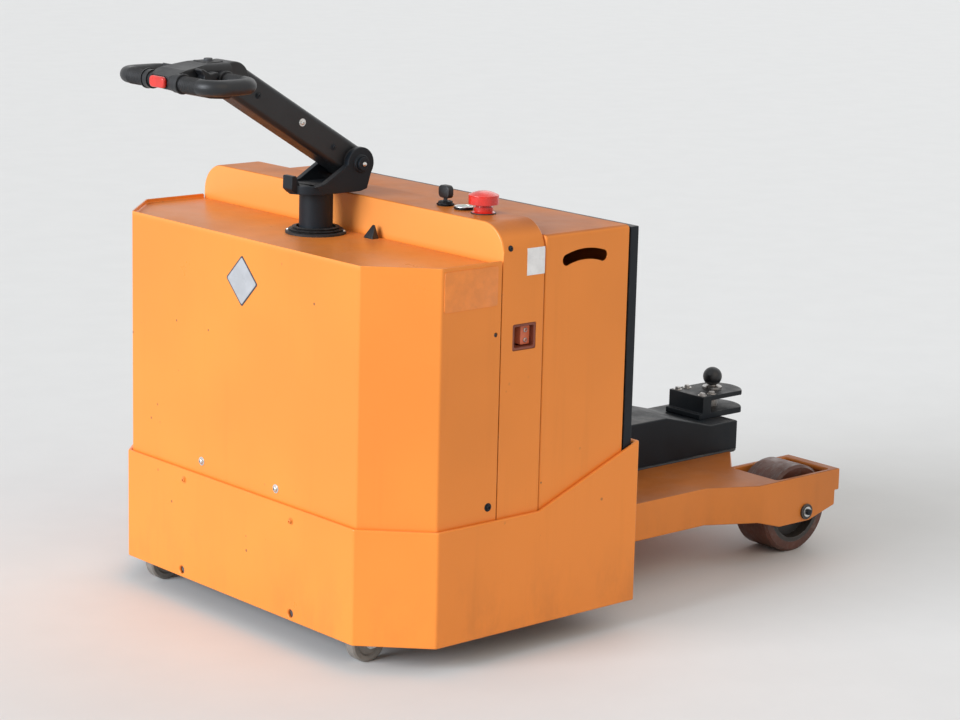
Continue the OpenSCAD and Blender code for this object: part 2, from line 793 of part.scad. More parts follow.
module drive_tyre() {
    color(rubber) translate([0, 0, drive_r])
        tyre_ring(drive_r, drive_r - drive_tyre_t, drive_w, drive_tyre_t / 6);
}

caster_base_t = 6;
caster_race_h = 12;
swivel_r = 8;

module caster_plate(side) {
    plate_w = tower_w - 4;
    bolt_at = plate_w / 2 - 11;
    color(steel) translate([caster_x, side * caster_y, caster_z - caster_base_t]) difference() {
        union() {
            linear_extrude(caster_base_t) round_rect(plate_w, plate_w, 6);
            translate([0, 0, -caster_race_h]) cylinder(r = 26, h = caster_race_h + 1);
            for (x = [-1, 1], y = [-1, 1]) translate([x * bolt_at, y * bolt_at, -4])
                cylinder(r = 7, h = 5, $fn = 6);
        }
        translate([0, 0, -caster_race_h - over]) cylinder(r = swivel_r + shaft_fit, h = caster_race_h + over);
    }
}

module caster_fork(side) {
    cheek_y = caster_w / 2 + 3;
    crown_z = caster_z - caster_base_t - caster_race_h - 1;
    foot_r = 12;
    color(steel) translate([caster_x, side * caster_y, 0]) {
        translate([-18, -cheek_y - caster_sheet, crown_z - caster_sheet - 2])
            cube([36, 2 * (cheek_y + caster_sheet), caster_sheet + 2]);
        translate([0, 0, crown_z - 1]) cylinder(r = swivel_r, h = caster_race_h - 2);
        for (s = [-1, 1]) translate([0, s * (cheek_y + caster_sheet / 2), 0]) across(caster_sheet) {
            polygon([
                [-18, crown_z - 1], [18, crown_z - 1], [18, crown_z - caster_r / 3],
                [caster_trail + foot_r, caster_r], [caster_trail - foot_r, caster_r], [-18, crown_z - caster_r / 3]
            ]);
            translate([caster_trail, caster_r]) circle(r = foot_r);
        }
        translate([caster_trail, 0, caster_r]) {
            cross_rod(caster_axle_r, -cheek_y - caster_sheet - 2, cheek_y + caster_sheet + 2);
            for (s = [-1, 1]) translate([0, s > 0 ? cheek_y + caster_sheet - 0.5 : -cheek_y - caster_sheet - 5.5, 0])
                rotate([-90, 0, 0]) cylinder(r = 9, h = 6, $fn = 6);
        }
    }
}

caster_axle_r = 5;

module caster_wheel(side) {
    bore = caster_axle_r + shaft_fit;
    edge = caster_w / 8;
    dish = caster_w / 8;
    hub_r = caster_axle_r + 6;
    rim_r = caster_r * 0.72;
    color(pale_urethane) translate([caster_x + caster_trail, side * caster_y, caster_r]) rotate([90, 0, 0])
        rotate_extrude() polygon([
            [bore, -caster_w / 2], [hub_r, -caster_w / 2], [hub_r + dish, -caster_w / 2 + dish],
            [rim_r - dish, -caster_w / 2 + dish], [rim_r, -caster_w / 2],
            [caster_r - edge, -caster_w / 2], [caster_r, -caster_w / 2 + edge],
            [caster_r, caster_w / 2 - edge], [caster_r - edge, caster_w / 2],
            [rim_r, caster_w / 2], [rim_r - dish, caster_w / 2 - dish],
            [hub_r + dish, caster_w / 2 - dish], [hub_r, caster_w / 2], [bore, caster_w / 2]
        ]);
}

module boot_ring() {
    bore = column_r + swing_gap;
    foot_r = column_r + hole_edge + 5;
    foot_t = 4;
    fold = 3;
    color(rubber) translate([0, 0, tray_z]) rotate_extrude() polygon([
        [bore, 0], [foot_r, 0], [foot_r, foot_t], [foot_r - 3 * fold, foot_t + 1],
        [foot_r - 2 * fold, foot_t + 1 + fold], [foot_r - 5 * fold, foot_t + 2 + fold],
        [foot_r - 4 * fold, foot_t + 2 + 2 * fold], [bore + fold, foot_t + 3 + 2 * fold], [bore, foot_t + 3 + 2 * fold]
    ]);
}

yoke_z = console_z + yoke_gap;
pivot_z = yoke_z + pivot_rise;
yoke_half = arm_w / 2 + yoke_side_gap + yoke_cheek_t;
yoke_boss_t = 4;

module tiller_column() {
    z0 = motor_z + motor_h + brake_h;
    foot_t = 12;
    color(black) rotate_extrude() polygon([
        [0, z0], [column_r + 14, z0], [column_r + 14, z0 + foot_t - 2], [column_r + 12, z0 + foot_t],
        [column_r, z0 + foot_t], [column_r, yoke_z], [0, yoke_z]
    ]);
}

module tiller_yoke() {
    base_h = 16;
    eye_r = arm_h / 2 + 1;
    nose_x = 12;
    lug_w = 28;
    lug_h = 34;
    color(black) difference() {
        union() {
            translate([0, 0, yoke_z]) linear_extrude(base_h) {
                translate([-pivot_back, -yoke_half]) square([pivot_back + nose_x, 2 * yoke_half]);
                translate([nose_x, 0]) circle(r = yoke_half);
            }
            for (s = [-1, 1]) {
                translate([0, s * (yoke_half - yoke_cheek_t / 2), 0]) cheek();
                translate([-pivot_back, 0, pivot_z])
                    cross_rod(2 * pivot_r, s > 0 ? yoke_half - 1 : -yoke_half - yoke_boss_t,
                              s > 0 ? yoke_half + yoke_boss_t : -yoke_half + 1);
            }
            across(lug_w) polygon([
                [nose_x, yoke_z + base_h / 2], [nose_x + yoke_half + 2, yoke_z + 2], [nose_x + yoke_half + 11, yoke_z + 10],
                [nose_x + yoke_half + 10, yoke_z + lug_h], [nose_x + yoke_half, yoke_z + lug_h],
                [nose_x + yoke_half - 8, yoke_z + base_h]
            ]);
        }
        translate([-pivot_back, 0, pivot_z]) cross_rod(pivot_r + shaft_fit, -2 * yoke_half, 2 * yoke_half);
    }

    module cheek() {
        translate([-pivot_back, 0, pivot_z]) cross_rod(eye_r, -yoke_cheek_t / 2, yoke_cheek_t / 2);
        across(yoke_cheek_t) polygon([
            [-pivot_back - eye_r, pivot_z], [-pivot_back - eye_r / 2, yoke_z + 4], [-pivot_back, yoke_z],
            [nose_x, yoke_z + 1], [nose_x + 24, yoke_z + base_h - 1], [nose_x, yoke_z + base_h + 5],
            [-pivot_back + eye_r, pivot_z]
        ]);
    }
}

module pivot_pin() {
    half = yoke_half + yoke_boss_t;
    head_t = 5;
    color(steel) translate([-pivot_back, 0, pivot_z]) {
        cross_rod(pivot_r, -half - head_t, half + head_t);
        cross_rod(pivot_r + 4, half, half + head_t);
        translate([0, -half - head_t, 0]) rotate([-90, 0, 0]) cylinder(r = pivot_r + 5, h = head_t, $fn = 6);
    }
}

elbow = [-pivot_back + arm_len * cos(arm_slope), pivot_z + arm_len * sin(arm_slope)];
neck_len = 12;

module tiller_arm() {
    beam_w = arm_w - 2;
    color(black) difference() {
        union() {
            translate([-pivot_back, 0, pivot_z]) {
                drum(arm_h / 2 + 0.5, arm_w / 2, arm_edge / 3);
                rotate([0, -arm_slope, 0]) along(0, arm_len) round_rect(beam_w, arm_h, arm_edge);
            }
            translate([elbow[0], 0, elbow[1]]) drum(elbow_r, arm_w / 2, arm_edge / 3);
        }
        translate([elbow[0] + neck_len, -arm_w, elbow[1] - 2 * elbow_r]) cube([elbow_r, 2 * arm_w, 4 * elbow_r]);
        translate([-pivot_back, 0, pivot_z]) cross_rod(pivot_r + shaft_fit, -arm_w, arm_w);
    }
}

pad_t = 8;

module tiller_head() {
    x_end = head_len - pad_t;
    grip_x0 = 34;
    grip_x1 = head_len - 6 - grip_r;
    grip_y = grip_w / 2 - grip_r;
    grip_z = 1;
    color(rubber) translate([elbow[0], 0, elbow[1]]) {
        intersection() {
            across(head_w) polygon([
                [neck_len, elbow_r], [head_len * 0.4, elbow_r - 1], [head_len * 0.75, elbow_r - 9], [x_end, 12],
                [x_end, -10], [head_len * 0.75, -16], [head_len * 0.38, -elbow_r + 1], [neck_len, -elbow_r - 3]
            ]);
            translate([0, 0, -2]) along(neck_len - over, x_end + over) round_rect(head_w, 2 * elbow_r + 4, 14);
            linear_extrude(4 * elbow_r, center = true) {
                translate([0, -head_w / 2]) square([x_end - head_w / 3, head_w]);
                translate([0, -head_w / 6]) square([x_end, head_w / 3]);
                for (s = [-1, 1]) translate([x_end - head_w / 3, s * head_w / 6]) circle(r = head_w / 3);
            }
        }
        for (side = [LEFT, RIGHT]) on_side(side) translate([0, 0, grip_z]) {
            for (x = [grip_x0, grip_x1]) translate([x, 0, 0]) cross_rod(grip_r, head_w / 3, grip_y - grip_bend);
            translate([grip_x0 + grip_bend, grip_y, 0]) rotate([0, 90, 0])
                cylinder(r = grip_r, h = grip_x1 - grip_x0 - 2 * grip_bend);
            translate([grip_x0 + grip_bend, grip_y - grip_bend, 0]) rotate([0, 0, 90]) quarter();
            translate([grip_x1 - grip_bend, grip_y - grip_bend, 0]) quarter();
            for (x = [grip_x0, grip_x1]) translate([x, head_w / 2 - 2, 0]) cross_rod(grip_r + 2.5, 0, 12);
        }
    }

    module quarter() {
        rotate_extrude(angle = 90) translate([grip_bend, 0]) circle(r = grip_r, $fn = 32);
    }
}

module belly_switch() {
    color(red) translate([0, 0, elbow[1] + 1])
        along(elbow[0] + head_len - pad_t, elbow[0] + head_len) round_rect(0.58 * head_w, 20, 8);
}

module throttle(side) {
    hub_r = 12;
    wing_w = 22;
    translate([elbow[0] + 0.52 * head_len, side * (head_w + wing_w) / 2, elbow[1] + 2]) color(rubber) {
        cross_rod(hub_r, -wing_w / 2, wing_w / 2);
        across(wing_w) polygon([
            [-hub_r, 0], [hub_r, 0], [hub_r - 2, hub_r], [hub_r + 6, hub_r + 9], [hub_r + 2, hub_r + 12],
            [-4, hub_r + 2], [-hub_r - 6, hub_r + 5], [-hub_r - 8, hub_r + 1]
        ]);
    }
}

stop_collar_h = 12;
stop_neck_r = stop_r - 10;

module emergency_stop_base() {
    flange_r = stop_neck_r + 4;
    color(red) translate([-control_x, stop_y, console_z]) rotate_extrude() polygon([
        [0, 0], [flange_r, 0], [flange_r, 2], [stop_neck_r, 4], [stop_neck_r, stop_collar_h], [0, stop_collar_h]
    ]);
}

module emergency_stop_button() {
    dome_r = 2 * stop_r;
    dome_rise = dome_r - sqrt(dome_r * dome_r - stop_r * stop_r);
    stem_r = stop_neck_r - 3;
    cap_z = 5;
    cap_side = 16;
    cap_top = cap_z + cap_side + dome_rise;
    color(red) translate([-control_x, stop_y, console_z + stop_collar_h]) rotate_extrude() intersection() {
        translate([0, cap_top - dome_r]) circle(r = dome_r);
        polygon([
            [0, 0], [stem_r, 0], [stem_r, cap_z - 3], [stop_r, cap_z], [stop_r, cap_top + over], [0, cap_top + over]
        ]);
    }
}

module key_switch() {
    barrel_r = 13;
    barrel_h = 8;
    blade_t = 3;
    bow_r = 11;
    bow_z = barrel_h + 6 + bow_r;
    color(dark_steel) translate([-control_x, key_y, console_z]) {
        rotate_extrude() polygon([
            [0, 0], [barrel_r + 2, 0], [barrel_r + 2, 2], [barrel_r, 4], [barrel_r, barrel_h - 1],
            [barrel_r - 1, barrel_h], [0, barrel_h]
        ]);
        translate([-blade_t / 2, -4, barrel_h - 1]) cube([blade_t, 8, bow_r]);
        difference() {
            translate([-blade_t / 2, 0, bow_z]) rotate([0, 90, 0]) cylinder(r = bow_r, h = blade_t);
            translate([-blade_t, 0, bow_z + bow_r / 3]) rotate([0, 90, 0]) cylinder(r = bow_r / 3, h = 2 * blade_t);
        }
    }
}

module battery_gauge() {
    bezel_h = 5;
    face_h = 3;
    color(steel) translate([-control_x, gauge_y, console_z]) rotate_extrude() polygon([
        [0, 0], [gauge_r, 0], [gauge_r, bezel_h - 1], [gauge_r - 1, bezel_h], [gauge_r - 2, bezel_h],
        [gauge_r - 4, face_h], [0, face_h]
    ]);
}

module charge_socket() {
    flange = 8;
    flange_t = 5;
    depth = 40;
    rim = 5;
    pin_len = 10;
    floor_t = 12;
    y1 = cover_half - cover_t;
    y0 = y1 - depth;
    inner = [socket_w - 2 * seat_gap, socket_h - 2 * seat_gap];
    color(black) translate([-control_x, 0, socket_z]) {
        difference() {
            union() {
                slab(y1 - flange_t, y1) round_rect(socket_w + 2 * flange, socket_h + 2 * flange, flange / 2);
                slab(y0, y1 + 2) round_rect(inner[0], inner[1], cover_t);
            }
            slab(y0 + floor_t, y1 + depth) round_rect(socket_w - 2 * rim, socket_h - 2 * rim, cover_t);
        }
        for (s = [-1, 1]) translate([s * socket_w / 6, 0, 0]) cross_rod(5, y0 + floor_t - 1, y0 + floor_t + pin_len);
    }

    module slab(a, b) {
        translate([0, (a + b) / 2, 0]) across(b - a) children();
    }
}

placed() chassis_skirt();
placed() chassis_plate();
placed() wheel_frame();
placed() rear_bulkhead();
placed() front_cover();
placed() console_cover();
placed() battery_cover();
placed() battery_pack();
placed() drawbar_box();
placed() hitch_jaw();
placed() hitch_pin();
placed() load_axle(LEFT);  // load_axle_left
placed() load_axle(RIGHT);  // load_axle_right
placed() load_hub(LEFT);  // load_hub_left
placed() load_hub(RIGHT);  // load_hub_right
placed() load_tyre(LEFT);  // load_tyre_left
placed() load_tyre(RIGHT);  // load_tyre_right
placed() steering_bearing();
placed() drive_head();
placed() drive_motor();
placed() drive_hub();
placed() drive_tyre();
placed() caster_plate(LEFT);  // caster_plate_left
placed() caster_plate(RIGHT);  // caster_plate_right
placed() caster_fork(LEFT);  // caster_fork_left
placed() caster_fork(RIGHT);  // caster_fork_right
placed() caster_wheel(LEFT);  // caster_wheel_left
placed() caster_wheel(RIGHT);  // caster_wheel_right
placed() boot_ring();
placed() tiller_column();
placed() tiller_yoke();
placed() pivot_pin();
placed() tiller_arm();
placed() tiller_head();
placed() throttle(LEFT);  // throttle_left
placed() throttle(RIGHT);  // throttle_right
placed() belly_switch();
placed() emergency_stop_base();
placed() emergency_stop_button();
placed() key_switch();
placed() battery_gauge();
placed() charge_socket();
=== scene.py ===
"""Walk-behind electric aircraft tug: its looks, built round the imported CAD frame."""
import math

import bmesh
import bpy
from mathutils import Matrix, Vector


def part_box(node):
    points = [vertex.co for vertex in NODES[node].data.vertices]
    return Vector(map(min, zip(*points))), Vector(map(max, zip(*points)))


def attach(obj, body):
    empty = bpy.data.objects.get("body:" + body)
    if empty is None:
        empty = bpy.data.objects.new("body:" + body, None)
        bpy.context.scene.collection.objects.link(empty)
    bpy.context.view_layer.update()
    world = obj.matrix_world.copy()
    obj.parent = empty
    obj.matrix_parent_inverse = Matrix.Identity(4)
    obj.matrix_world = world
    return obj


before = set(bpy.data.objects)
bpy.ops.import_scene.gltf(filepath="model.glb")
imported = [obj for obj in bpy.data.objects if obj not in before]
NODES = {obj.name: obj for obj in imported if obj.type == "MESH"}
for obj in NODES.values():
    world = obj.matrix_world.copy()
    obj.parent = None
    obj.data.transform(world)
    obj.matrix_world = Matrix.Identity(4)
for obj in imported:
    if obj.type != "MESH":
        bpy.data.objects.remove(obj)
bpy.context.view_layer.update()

TAU = 2 * math.pi
HEX_FLAT = math.cos(math.pi / 6)
LEFT, RIGHT = 1, -1
SIDES = ((LEFT, "left"), (RIGHT, "right"))
UP, FORWARD, BACKWARD, LEFTWARD = (0, 0, 1), (1, 0, 0), (-1, 0, 0), (0, 1, 0)

# Places in the part's frame, in metres
STEER_X = 0.38958
COVER_SIDE = 0.4415
COVER_FRONT = 0.5611
SKIRT_FRONT = 0.5696
SKIRT_RIM = 0.32
CONSOLE_TOP = 0.782
CONSOLE_BEND = 0.055
TRAY_FLOOR = 0.712
DECK_TOP = 0.165
BULKHEAD_BACK = -0.0024
PIVOT = Vector((0.32058, 0.0, 0.839))
ELBOW = Vector((0.59542, 0.0, 1.00676))
ARM_SLOPE = math.radians(31.4)
WHEEL_X = -0.62042
WHEEL_R = 0.09
FLOOR_R = 60
SPLASH_FULL, SPLASH_TOP = 0.03, 0.22

# The photograph's station and axes, and the longer lens
CAMERA_PLACE = (3.3836, 3.837, 1.55)
CAMERA_RIGHT = Vector((-0.75146, 0.65932, 0.02427))
CAMERA_UP = Vector((-0.12400, -0.17728, 0.97631))
CAMERA_AHEAD = Vector((-0.64801, -0.73066, -0.21497))
CAMERA_LENS = 101.0
SENSOR_WIDTH = 36.0
FAR_CLIP = 200.0

# The world's light, and the pale ground that shows and is mirrored
WORLD_TINT = (0.97, 0.985, 1.0)
WORLD_LEVEL = 0.56
SKY = (0.80, 0.805, 0.805)

# Each lamp's name, place, strength, width in degrees and tint
LAMPS = (
    ("key_front", (5.0, -0.7, 1.9), 2.9, 34, (0.97, 1.02, 1.09)),
    ("fill_left", (0.2, 5.0, 3.6), 0.42, 50, (1.0, 0.75, 0.5)),
    ("rear_soft", (-5.0, -2.4, 3.2), 0.40, 50, (1.0, 1.0, 1.0)),
)

# Rounded edges
SHARP = math.radians(28)  # the angle that counts as sharp
IN_PLANE = 0.01  # the angle under which two faces are one plane
ON_THE_EDGE = 2e-5  # how near a point lies to an edge that it is on
ROOM_LOOKED_AT = 2.6  # how many widths of room on a face are looked at
SHARE_OF_ROOM = 0.38  # the share of that room that a bevel may take
SHARE_OF_BRANCH = 0.45  # the share of an edge that branches off that a bevel may take
STRAIGHT_ON = 0.94  # the cosine from which a branch goes straight on
TOO_NARROW = 0.0003  # the width below which an edge stays sharp
SMOOTH_UNDER = math.radians(35)  # the angle under which a piece's faces are shaded as one
CORNER_STEPS = 5  # the steps round a plate's corner

# Colours, as linear red, green and blue
DUST = (0.42, 0.34, 0.27)
GRIME = (0.055, 0.042, 0.032)
RUST = (0.20, 0.065, 0.022)
ORANGE_TONE = (0.87, 0.272, 0.042)
# The next colour is painted reflected light: a paler orange for the wall over the tray.
ORANGE_BOUNCE_LIGHT = (0.95, 0.40, 0.11)
# The next colour is painted shade with some dirt, for faces that look up.
ORANGE_TOP_SHADE_AND_DIRT = (0.33, 0.095, 0.026)
# The next colour is painted shade with dirt, toward the rear.
ORANGE_REAR_SHADE_AND_DIRT = (0.30, 0.105, 0.036)
# The next colour is paler rubbed paint on edges: real wear, and also a painted edge highlight.
ORANGE_RUBBED_AND_HIGHLIGHT = (0.90, 0.42, 0.16)
CHIP = (0.13, 0.075, 0.045)
BLACK_TONE = (0.007, 0.0105, 0.015)
BLACK_RUBBED = (0.09, 0.09, 0.095)
BLACK_SCRATCH = (0.11, 0.11, 0.11)


# Camera and light

def aim(obj, place, target):
    """Puts a camera or lamp at a place, looking at a target."""
    obj.location = place
    obj.rotation_mode = "QUATERNION"
    obj.rotation_quaternion = (Vector(target) - Vector(place)).to_track_quat("-Z", "Y")


def make_camera():
    """The photograph's own station and roll, turned to the tug with a longer lens."""
    data = bpy.data.cameras.new("camera")
    data.sensor_width = SENSOR_WIDTH
    data.lens = CAMERA_LENS
    data.clip_end = FAR_CLIP
    camera = bpy.data.objects.new("camera", data)
    bpy.context.scene.collection.objects.link(camera)
    turn = Matrix((CAMERA_RIGHT, CAMERA_UP, -CAMERA_AHEAD)).transposed().to_4x4()
    camera.matrix_world = Matrix.Translation(CAMERA_PLACE) @ turn
    bpy.context.scene.camera = camera


def far_lamp(name, place, strength, spread, tint):
    """A soft lamp so far off that its light is even over the floor. The spread is its width in degrees."""
    data = bpy.data.lights.new(name, "SUN")
    data.color = tint
    data.energy = strength
    data.angle = math.radians(spread)
    lamp = bpy.data.objects.new(name, data)
    bpy.context.scene.collection.objects.link(lamp)
    aim(lamp, place, (0, 0, 0))


def make_world():
    """Even light all round, with a pale sky where the camera, metal and glass look past the floor."""
    world = bpy.data.worlds.new("studio")
    bpy.context.scene.world = world
    world.use_nodes = True
    tree = world.node_tree
    tree.nodes.clear()
    out = tree.nodes.new("ShaderNodeOutputWorld")
    rays = tree.nodes.new("ShaderNodeLightPath")
    lit, seen = (tree.nodes.new("ShaderNodeBackground") for _ in range(2))
    lit.inputs["Color"].default_value = (*WORLD_TINT, 1)
    lit.inputs["Strength"].default_value = WORLD_LEVEL
    seen.inputs["Color"].default_value = (*SKY, 1)
    mirrored, shows = (tree.nodes.new("ShaderNodeMath") for _ in range(2))
    mirrored.operation = shows.operation = "MAXIMUM"
    tree.links.new(rays.outputs["Is Glossy Ray"], mirrored.inputs[0])
    tree.links.new(rays.outputs["Is Transmission Ray"], mirrored.inputs[1])
    tree.links.new(rays.outputs["Is Camera Ray"], shows.inputs[0])
    tree.links.new(mirrored.outputs[0], shows.inputs[1])
    mix = tree.nodes.new("ShaderNodeMixShader")
    tree.links.new(shows.outputs[0], mix.inputs[0])
    tree.links.new(lit.outputs[0], mix.inputs[1])
    tree.links.new(seen.outputs[0], mix.inputs[2])
    tree.links.new(mix.outputs[0], out.inputs[0])


# Materials

class Look:
    """A procedural material: a Principled shader and short calls for the nodes before it."""

    def __init__(self, name, metallic=0.0, coat=0.0, coat_roughness=0.12, ior=1.5):
        self.material = bpy.data.materials.new(name)
        self.material.use_nodes = True
        self.tree = self.material.node_tree
        self.shader = self.tree.nodes["Principled BSDF"]
        for socket, value in (("Metallic", metallic), ("Coat Weight", coat), ("IOR", ior),
                              ("Coat Roughness", coat_roughness)):
            self.shader.inputs[socket].default_value = value
        self.place = self.add("ShaderNodeTexCoord").outputs["Object"]
        self.geometry = self.add("ShaderNodeNewGeometry")

    def add(self, kind, **settings):
        node = self.tree.nodes.new(kind)
        for key, value in settings.items():
            setattr(node, key, value)
        return node

    def feed(self, socket, value):
        """Links an output to a socket, or writes a plain value there."""
        if isinstance(value, bpy.types.NodeSocket):
            self.tree.links.new(value, socket)
        elif isinstance(value, tuple):
            socket.default_value = (*value, 1.0)
        else:
            socket.default_value = value

    def math(self, operation, a, b=0.0):
        node = self.add("ShaderNodeMath", operation=operation)
        self.feed(node.inputs[0], a)
        self.feed(node.inputs[1], b)
        return node.outputs[0]

    def times(self, *factors):
        total = factors[0]
        for factor in factors[1:]:
            total = self.math("MULTIPLY", total, factor)
        return total

    def stretched(self, scale):
        node = self.add("ShaderNodeMapping")
        self.feed(node.inputs["Vector"], self.place)
        node.inputs["Scale"].default_value = scale
        return node.outputs[0]

    def noise(self, scale, detail=3.0, rough=0.5, stretch=None, distortion=0.0):
        node = self.add("ShaderNodeTexNoise")
        self.feed(node.inputs["Vector"], self.stretched(stretch) if stretch else self.place)
        for socket, value in (("Scale", scale), ("Detail", detail), ("Roughness", rough),
                              ("Distortion", distortion)):
            node.inputs[socket].default_value = value
        return node.outputs[0]

    def cells(self, scale):
        node = self.add("ShaderNodeTexVoronoi", feature="F1")
        self.feed(node.inputs["Vector"], self.place)
        node.inputs["Scale"].default_value = scale
        return node.outputs["Distance"]

    def band(self, value, low, high, out_low=0.0, out_high=1.0):
        """Runs smoothly from out_low at low to out_high at high."""
        node = self.add("ShaderNodeMapRange", interpolation_type="SMOOTHSTEP")
        self.feed(node.inputs["Value"], value)
        for socket, number in (("From Min", low), ("From Max", high),
                               ("To Min", out_low), ("To Max", out_high)):
            node.inputs[socket].default_value = number
        return node.outputs[0]

    def blend(self, factor, a, b):
        node = self.add("ShaderNodeMix", data_type="RGBA")
        self.feed(node.inputs[0], factor)
        self.feed(node.inputs[6], a)
        self.feed(node.inputs[7], b)
        return node.outputs[2]

    def axis(self, index, vector=None):
        node = self.add("ShaderNodeSeparateXYZ")
        self.feed(node.inputs[0], vector or self.place)
        return node.outputs[index]

    def upward(self):
        """How far a face looks up, from -1 to 1."""
        return self.axis(2, self.geometry.outputs["Normal"])

    def away(self, level, near, far):
        """0 up to a near distance above or below a level, 1 beyond a far one."""
        gap = self.math("ABSOLUTE", self.math("SUBTRACT", self.axis(2), level))
        return self.band(gap, near, far)

    def edges(self, radius):
        """Near 1 on corners and edges within a radius."""
        rounded = self.add("ShaderNodeBevel", samples=3)
        rounded.inputs["Radius"].default_value = radius
        dot = self.add("ShaderNodeVectorMath", operation="DOT_PRODUCT")
        self.feed(dot.inputs[0], rounded.outputs[0])
        self.feed(dot.inputs[1], self.geometry.outputs["Normal"])
        return self.band(dot.outputs["Value"], 0.985, 0.86)

    def bump(self, height, distance, strength=1.0):
        node = self.add("ShaderNodeBump")
        node.inputs["Strength"].default_value = strength
        node.inputs["Distance"].default_value = distance
        self.feed(node.inputs["Height"], height)
        previous = self.shader.inputs["Normal"].links
        if previous:
            self.feed(node.inputs["Normal"], previous[0].from_socket)
        self.feed(self.shader.inputs["Normal"], node.outputs[0])

    def finish(self, color, roughness):
        self.feed(self.shader.inputs["Base Color"], color)
        self.feed(self.shader.inputs["Roughness"], roughness)
        return self.material


def shade(color, factor):
    return tuple(channel * factor for channel in color)


def aged(look, color, dust, grime):
    """Dust on what faces up and splashed dirt near the floor."""
    settled = look.band(look.noise(13, 5, 0.62), 0.36, 0.74)
    lying = look.times(look.band(look.upward(), 0.55, 0.97), settled, dust)
    color = look.blend(lying, color, DUST)
    low = look.band(look.axis(2), SPLASH_TOP, SPLASH_FULL)
    splash = look.times(low, look.band(look.noise(11, 6, 0.68, stretch=(1, 1, 0.45)), 0.44, 0.70), grime)
    return look.blend(splash, color, GRIME)


def orange_ground(look, flat, open_top):
    """The orange's tone: soft waves and runs, paler over the tray where light thrown up off the tray is
    painted, painted shade with a dirt layer on tops, and painted shade with dirt toward the rear.
    """
    waves = look.band(look.noise(1.9, 3, 0.55), 0.32, 0.68)
    color = look.blend(waves, shade(ORANGE_TONE, 0.93), shade(ORANGE_TONE, 1.05))
    runs = look.band(look.noise(1.0, 5, 0.6, stretch=(30, 30, 1.7)), 0.54, 0.76)
    color = look.blend(look.times(runs, 0.12), color, shade(ORANGE_TONE, 0.66))
    # Painted reflected light: faces looking forward just above the tray floor are made paler, as if lit by
    # light thrown up off the tray.
    forward = look.band(look.axis(0, look.geometry.outputs["Normal"]), 0.8, 0.95)
    over_tray = look.band(look.axis(2), TRAY_FLOOR - 0.002, TRAY_FLOOR + 0.012)
    color = look.blend(look.times(forward, over_tray, 0.6), color, ORANGE_BOUNCE_LIGHT)
    # Painted shade with some dirt: faces that look up, and the open tray floor twice as strongly, are blended
    # in patches to a darker brown orange.
    shade_and_dirt_patches = look.band(look.noise(5, 5, 0.6), 0.25, 0.75, 0.22, 0.42)
    top_shade_and_dirt = look.math("MAXIMUM", look.times(flat, shade_and_dirt_patches), look.times(open_top, shade_and_dirt_patches, 2.0))
    color = look.blend(top_shade_and_dirt, color, ORANGE_TOP_SHADE_AND_DIRT)
    # Painted shade with dirt: darker toward the rear, in patches.
    rear = look.band(look.axis(0), -0.05, -0.75, 0.0, 0.42)
    patches = look.band(look.noise(4, 5, 0.6), 0.3, 0.7, 0.6, 1.0)
    return look.blend(look.times(rear, patches), color, ORANGE_REAR_SHADE_AND_DIRT)


def orange_paint():
    """Sprayed gloss enamel on folded sheet, with orange peel, chips at the edges, paler rubbed edges that are
    partly a painted highlight, and duller tops.
    """
    look = Look("orange_enamel", coat=0.06, coat_roughness=0.2, ior=1.36)
    # Faces that look up, leaving out the skirt's rim; the painted top shade and the dulled shine follow them.
    flat = look.times(look.band(look.upward(), 0.5, 0.95), look.away(SKIRT_RIM, 0.095, 0.115))
    open_top = look.times(flat, look.away(TRAY_FLOOR, 0.015, 0.030))
    color = aged(look, orange_ground(look, flat, open_top), dust=0.10, grime=0.14)
    # Paler rubbed edges: real wear, and also a painted highlight along the edges.
    rubbed = look.times(look.edges(0.0035), look.band(look.noise(31, 6, 0.72), 0.47, 0.66))
    color = look.blend(look.times(rubbed, 0.55), color, ORANGE_RUBBED_AND_HIGHLIGHT)
    chips = look.times(look.edges(0.0022), look.band(look.noise(62, 5, 0.75), 0.60, 0.66))
    struck = look.band(look.noise(3.4, 4, 0.6), 0.53, 0.62)
    specks = look.times(look.band(look.cells(26), 0.085, 0.06), struck)
    worn = look.math("MAXIMUM", chips, look.times(specks, 0.75))
    color = look.blend(worn, color, CHIP)
    rough = look.band(look.noise(7, 5, 0.6), 0.25, 0.8, 0.27, 0.43)
    rough = look.math("ADD", rough, look.times(worn, 0.3))
    look.bump(look.noise(4.2, 2, 0.4), 0.0045, 0.30)
    look.bump(look.noise(420, 2, 0.5), 0.00022, 0.25)
    look.bump(look.times(worn, -1.0), 0.0003, 0.7)
    dulled = look.math("ADD", look.times(flat, 0.24), look.times(open_top, 0.21))
    look.feed(look.shader.inputs["Specular IOR Level"], look.math("SUBTRACT", 0.5, dulled))
    return look.finish(color, rough)


def black_paint():
    """Fine powder coat, rubbed grey at the edges."""
    look = Look("black_powder_coat", ior=1.34)
    patches = look.band(look.noise(6, 4, 0.6), 0.3, 0.7)
    color = look.blend(patches, shade(BLACK_TONE, 0.8), shade(BLACK_TONE, 1.5))
    color = aged(look, color, dust=0.10, grime=0.20)
    rubbed = look.times(look.edges(0.003), look.band(look.noise(44, 6, 0.72), 0.45, 0.66))
    color = look.blend(look.times(rubbed, 0.5), color, BLACK_RUBBED)
    lines = look.noise(1, 5, 0.7, stretch=(180, 9, 9), distortion=0.8)
    scratch = look.times(look.band(lines, 0.70, 0.76), 0.28)
    color = look.blend(scratch, color, BLACK_SCRATCH)
    rough = look.band(look.noise(24, 5, 0.6), 0.3, 0.75, 0.40, 0.60)
    look.bump(look.noise(950, 3, 0.6), 0.00025, 0.55)
    return look.finish(color, rough)


